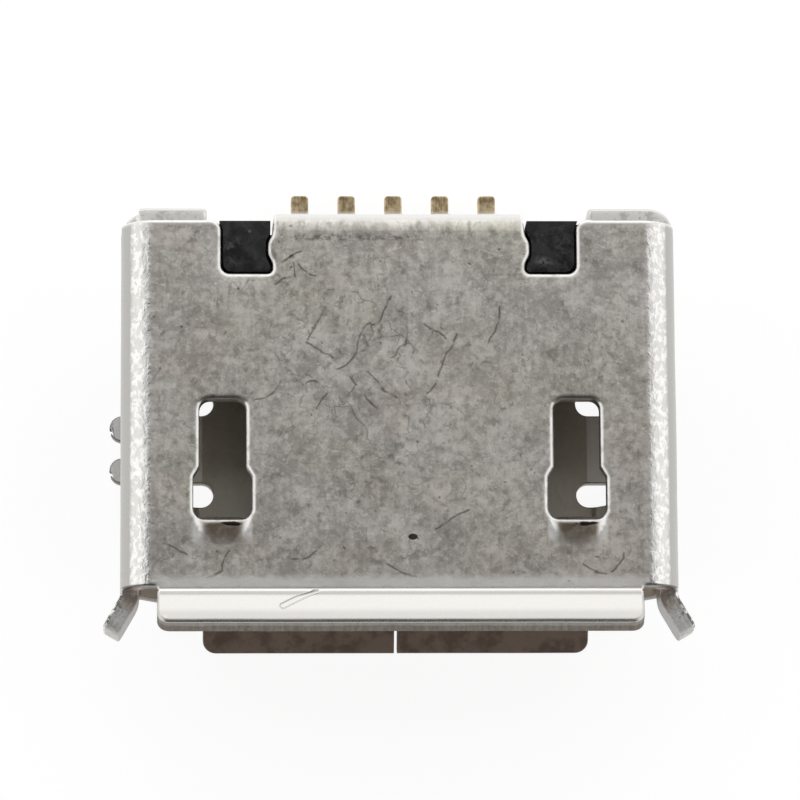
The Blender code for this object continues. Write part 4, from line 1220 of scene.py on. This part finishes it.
class SocketSizes(bpy.types.PropertyGroup):
    """Main sizes of the folded shell and the fineness of its mesh."""

    sheet: length("Sheet", "Thickness of the sheet", 0.25)
    width: length("Width", "Over the straight side walls", 7.5)
    height: length("Height", "Board side to wide face", 2.45)
    flare_angle: bend_angle("Flare", "Turn of the lips", 27)
    ear_angle: bend_angle("Ear flare", "Turn of the ears", 30)
    edge_roll: length("Edge roll", "Radius that the punch leaves on an edge", 0.048)
    wave: length("Wave", "Unevenness of the sheet", 0.005)
    grid: length("Grid", "Mesh size on flat metal", 0.16)
    bend_steps: IntProperty(name="Bend steps", description="Facets of a small bend", default=7, min=2)
    moulding_edge: length("Moulding edge", "Radius of the plastic edges", 0.02)
    contact_edge: length("Contact edge", "Radius of the contact edges", 0.018)


class SocketColours(bpy.types.PropertyGroup):
    """Colours of the finishes."""

    plate_light: colour("Plate light", "Clean patches of the wide plate", (0.80, 0.765, 0.715))
    plate_dark: colour("Plate dark", "Dull patches of the wide plate", (0.48, 0.452, 0.416))
    # A lighter tone laid on a strip of the plate beside the lip's fold, where no hair scratches are laid
    plate_near_lip: colour("Plate near lip", "Cleaner strip beside the fold", (0.92, 0.90, 0.86))
    bright_plate: colour("Bright plate", "Bends and lips", (0.77, 0.755, 0.725))
    # Darker copy of the plating: painted shade on the side walls and along the lip's front; also the cut
    # edge's burnished band and the rear flaps' bars
    side_plate: colour("Side plate", "Side walls", (0.47, 0.465, 0.44))
    # Near-white for painted highlights on the bends, rolled rims, the lip's fold, the rear fold, the
    # lead-in flanks and the glints; also bright flakes and rubbed metal
    rub_and_highlight: colour("Crest", "Metal rubbed bright", (0.95, 0.94, 0.91))
    bar: colour("Bar", "Upper edges of the rear flaps", (0.93, 0.91, 0.87))
    # Painted light: near-white that lightens the wings where they lie in shade
    wing: colour("Wing", "Upper side of the solder wings", (1.0, 0.99, 0.97))
    far_lip: colour("Far lip", "Inner side of the lower lip", (0.40, 0.30, 0.24))
    inner_warm: colour("Inner warm", "Inner side, browned", (0.62, 0.54, 0.45))
    inner_cool: colour("Inner cool", "Inner side, plain", (0.66, 0.64, 0.57))
    # Painted shade in the middles of the lead-ins
    brown_shade: colour("Soot", "Brown grime", (0.34, 0.275, 0.205))
    # Painted shade at the windows' front ends; also dark blotches on the far lip
    black_shade_and_dirt: colour("Soot black", "Darkest grime", (0.045, 0.035, 0.028))
    ear_inside: colour("Ear inside", "Inner side of the ears", (0.38, 0.375, 0.36))
    ear_cut_brown: colour("Ear brown", "Cut edge of an ear near its fold", (0.47, 0.40, 0.355))
    ear_cut_grey: colour("Ear grey", "Cut edge of an ear near its tip", (0.66, 0.65, 0.63))
    pink_tint: colour("Pink tint", "Multiplies the plate in some patches", (1.0, 0.93, 0.91))
    green_tint: colour("Green tint", "Multiplies the plate in some patches", (0.96, 1.0, 0.92))
    # Dark colour of scratches, pits, blots and smudges; also the painted shade on rims and along the dent
    scratch_and_shade: colour("Scratch", "Hair scratches and pits", (0.10, 0.088, 0.076))
    stain: colour("Stain", "Brown haze near the lead-ins", (0.40, 0.33, 0.27))
    dot: colour("Dot", "Small brown spot", (0.045, 0.026, 0.018))
    cut_light: colour("Cut light", "Sheared edge where it is clean", (0.262, 0.236, 0.205))
    cut_dark: colour("Cut dark", "Sheared edge where it is torn", (0.175, 0.151, 0.127))
    moulding: colour("Moulding", "Black plastic", (0.0055, 0.005, 0.0045))
    moulding_worn: colour("Moulding worn", "Rubbed plastic", (0.026, 0.0245, 0.0245))
    smear: colour("Smear", "Pale smears on the plastic", (0.085, 0.085, 0.088))
    dust: colour("Dust", "Specks on the plastic", (0.17, 0.165, 0.175))
    gilt: colour("Gilt", "Clean gilt", (0.66, 0.53, 0.33))
    gilt_brown: colour("Gilt brown", "Browned gilt", (0.30, 0.22, 0.12))
    # Painted highlight on the contacts
    gilt_highlight: colour("Gilt pale", "Gilt above the board", (0.82, 0.76, 0.68))
    floor: colour("Floor", "Pale ground", (1.0, 1.0, 1.0))


class SocketStudio(bpy.types.PropertyGroup):
    """Light and view."""

    sky: dial("Sky", "Level of the plain surroundings", 0.74)
    rear_light: dial("Rear light", "Level of the light behind", 0.50)
    side_light: dial("Side light", "Level of the side lights", 0.35)
    hood: dial("Hood", "Level of the dark card over the camera", 0.10)
    front_card: dial("Front card", "Level of the card in front", 0.10)
    shadow: dial("Shadow", "Share of the floor that the shadow takes", 0.22)
    floor_glow: dial("Floor glow", "Plain level of the floor", 0.872)
    lens: dial("Lens", "Focal length in millimetres", 260.1)
    distance: length("Distance", "Camera to target", 77.58)


# The studio, in metres: name, place, size and the setting that gives the level
VIEW = Vector((-0.033, -0.19, 0.981)).normalized()      # from the socket to the camera
TARGET = Vector((0.0034 * MM, 0, 2.45 * MM))
FLOOR_RADIUS = 0.6
FLOOR_GAP = 0.02 * MM
SOFTBOXES = (
    ("rear_softbox", (0.0, 0.150, 0.075), (0.24, 0.13), "rear_light"),
    ("left_softbox", (-0.150, 0.01, 0.075), (0.22, 0.13), "side_light"),
    ("right_softbox", (0.150, 0.01, 0.075), (0.22, 0.13), "side_light"),
)
CARDS = (
    ("camera_hood", VIEW * 0.150, (0.150, 0.130), "hood"),
    ("front_card", (0.0, -0.150, 0.085), (0.28, 0.15), "front_card"),
)


class SocketPart:
    """What all the steps share."""

    bl_options = {"REGISTER", "UNDO"}

    @property
    def sizes(self):
        return bpy.context.scene.socket_sizes

    @property
    def colours(self):
        return bpy.context.scene.socket_colours

    @property
    def studio(self):
        return bpy.context.scene.socket_studio


class MakeShell(SocketPart, bpy.types.Operator):
    """Cut, edge and fold the plated shell"""

    bl_idname = "board_socket.make_shell"
    bl_label = "Shell"

    def execute(self, context):
        shape = FoldedSheet(self.sizes)
        bm, places = thick_sheet(shape)
        if not bm.faces:
            raise RuntimeError("the shell has no faces")
        shell = mesh_object("folded_shell", bm, PlatedSheet(self.colours, shape).made(),
                            sheared_edge_finish(self.colours, shape))
        kept = shell.data.attributes.new("blank", "FLOAT_VECTOR", "POINT")
        kept.data.foreach_set("vector", [number for place in places for number in place])
        smooth_mesh(shell, EDGE_ANGLE)
        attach(shell, "root")
        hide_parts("shell")
        return {"FINISHED"}


class MakeHousing(SocketPart, bpy.types.Operator):
    """Soften the edges of the black moulding and give it its dull skin"""

    bl_idname = "board_socket.make_housing"
    bl_label = "Housing"

    def execute(self, context):
        moulding = bevelled_copy("housing", "moulding", self.sizes.moulding_edge,
                                 moulding_finish(self.colours))
        return {"FINISHED"}


class MakeContacts(SocketPart, bpy.types.Operator):
    """Soften the five contacts and give them browned gilt with a painted highlight"""

    bl_idname = "board_socket.make_contacts"
    bl_label = "Contacts"

    def execute(self, context):
        gilt = gilt_finish(self.colours)
        names = sorted(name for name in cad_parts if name.startswith("contact_"))
        if not names:
            raise RuntimeError("the frame holds no contacts")
        for name in names:
            spring = bevelled_copy(name, name.replace("contact", "spring"), self.sizes.contact_edge, gilt)
        return {"FINISHED"}


class MakeStudio(SocketPart, bpy.types.Operator):
    """Set the floor, the soft lights, the cards and the camera"""

    bl_idname = "board_socket.make_studio"
    bl_label = "Studio"

    def panel(self, name, place, size, material):
        """A flat card that faces the socket and that only light and metal see."""
        bm = bmesh.new()
        bmesh.ops.create_grid(bm, x_segments=1, y_segments=1, size=0.5)
        card = mesh_object(name, bm, material)
        card.scale = (size[0], size[1], 1)
        card.location = place
        card.rotation_euler = facing(Vector(place), ACROSS)
        card.visible_camera = False

    def softbox(self, name, place, size, level):
        data = bpy.data.lights.new(name, "AREA")
        data.shape = "RECTANGLE"
        data.size = size[0]
        data.size_y = size[1]
        data.energy = level * pi * size[0] * size[1]
        lamp = link(bpy.data.objects.new(name, data))
        lamp.location = place
        lamp.rotation_euler = facing(Vector(place), UP.cross(Vector(place)))

    def execute(self, context):
        studio = self.studio
        scene = context.scene
        scene.view_settings.view_transform = "Standard"
        world = bpy.data.worlds.new("pale_room")
        scene.world = world
        world.use_nodes = True
        background = world.node_tree.nodes["Background"]
        background.inputs["Color"].default_value = (1.0, 1.0, 1.0, 1.0)
        background.inputs["Strength"].default_value = studio.sky

        bm = bmesh.new()
        bmesh.ops.create_circle(bm, cap_ends=True, segments=96, radius=FLOOR_RADIUS)
        floor = mesh_object("floor", bm, floor_finish(self.colours, studio.shadow, studio.floor_glow))
        floor.location = (0, 0, CAD_BOX[0].z - FLOOR_GAP)

        for name, place, size, setting in SOFTBOXES:
            self.softbox(name, place, size, getattr(studio, setting))
        for name, place, size, setting in CARDS:
            self.panel(name, place, size, card_finish(name, getattr(studio, setting)))

        data = bpy.data.cameras.new("camera")
        data.lens = studio.lens
        data.clip_start = 0.001
        data.clip_end = 10.0
        camera = link(bpy.data.objects.new("camera", data))
        camera.location = TARGET + VIEW * studio.distance
        camera.rotation_euler = facing(VIEW, ACROSS)
        scene.camera = camera
        return {"FINISHED"}


class SocketPanel(bpy.types.Panel):
    """The steps and their settings, in the sidebar of the 3D view"""

    bl_idname = "VIEW3D_PT_board_socket"
    bl_label = "Board socket"
    bl_space_type = "VIEW_3D"
    bl_region_type = "UI"
    bl_category = "Socket"

    def draw(self, context):
        layout = self.layout
        for step in STEPS:
            layout.operator(step.bl_idname)
        for name in POINTERS:
            group = getattr(context.scene, name)
            column = layout.column()
            for setting in type(group).__annotations__:
                column.prop(group, setting)


STEPS = (MakeShell, MakeHousing, MakeContacts, MakeStudio)
GROUPS = (SocketSizes, SocketColours, SocketStudio)
POINTERS = {"socket_sizes": SocketSizes, "socket_colours": SocketColours, "socket_studio": SocketStudio}


def register():
    for one in (*GROUPS, *STEPS, SocketPanel):
        bpy.utils.register_class(one)
    for name, group in POINTERS.items():
        setattr(bpy.types.Scene, name, PointerProperty(type=group))


def unregister():
    for name in POINTERS:
        delattr(bpy.types.Scene, name)
    for one in reversed((*GROUPS, *STEPS, SocketPanel)):
        bpy.utils.unregister_class(one)


def main():
    register()
    bpy.ops.board_socket.make_shell()
    bpy.ops.board_socket.make_housing()
    bpy.ops.board_socket.make_contacts()
    bpy.ops.board_socket.make_studio()


if __name__ == "__main__":
    main()
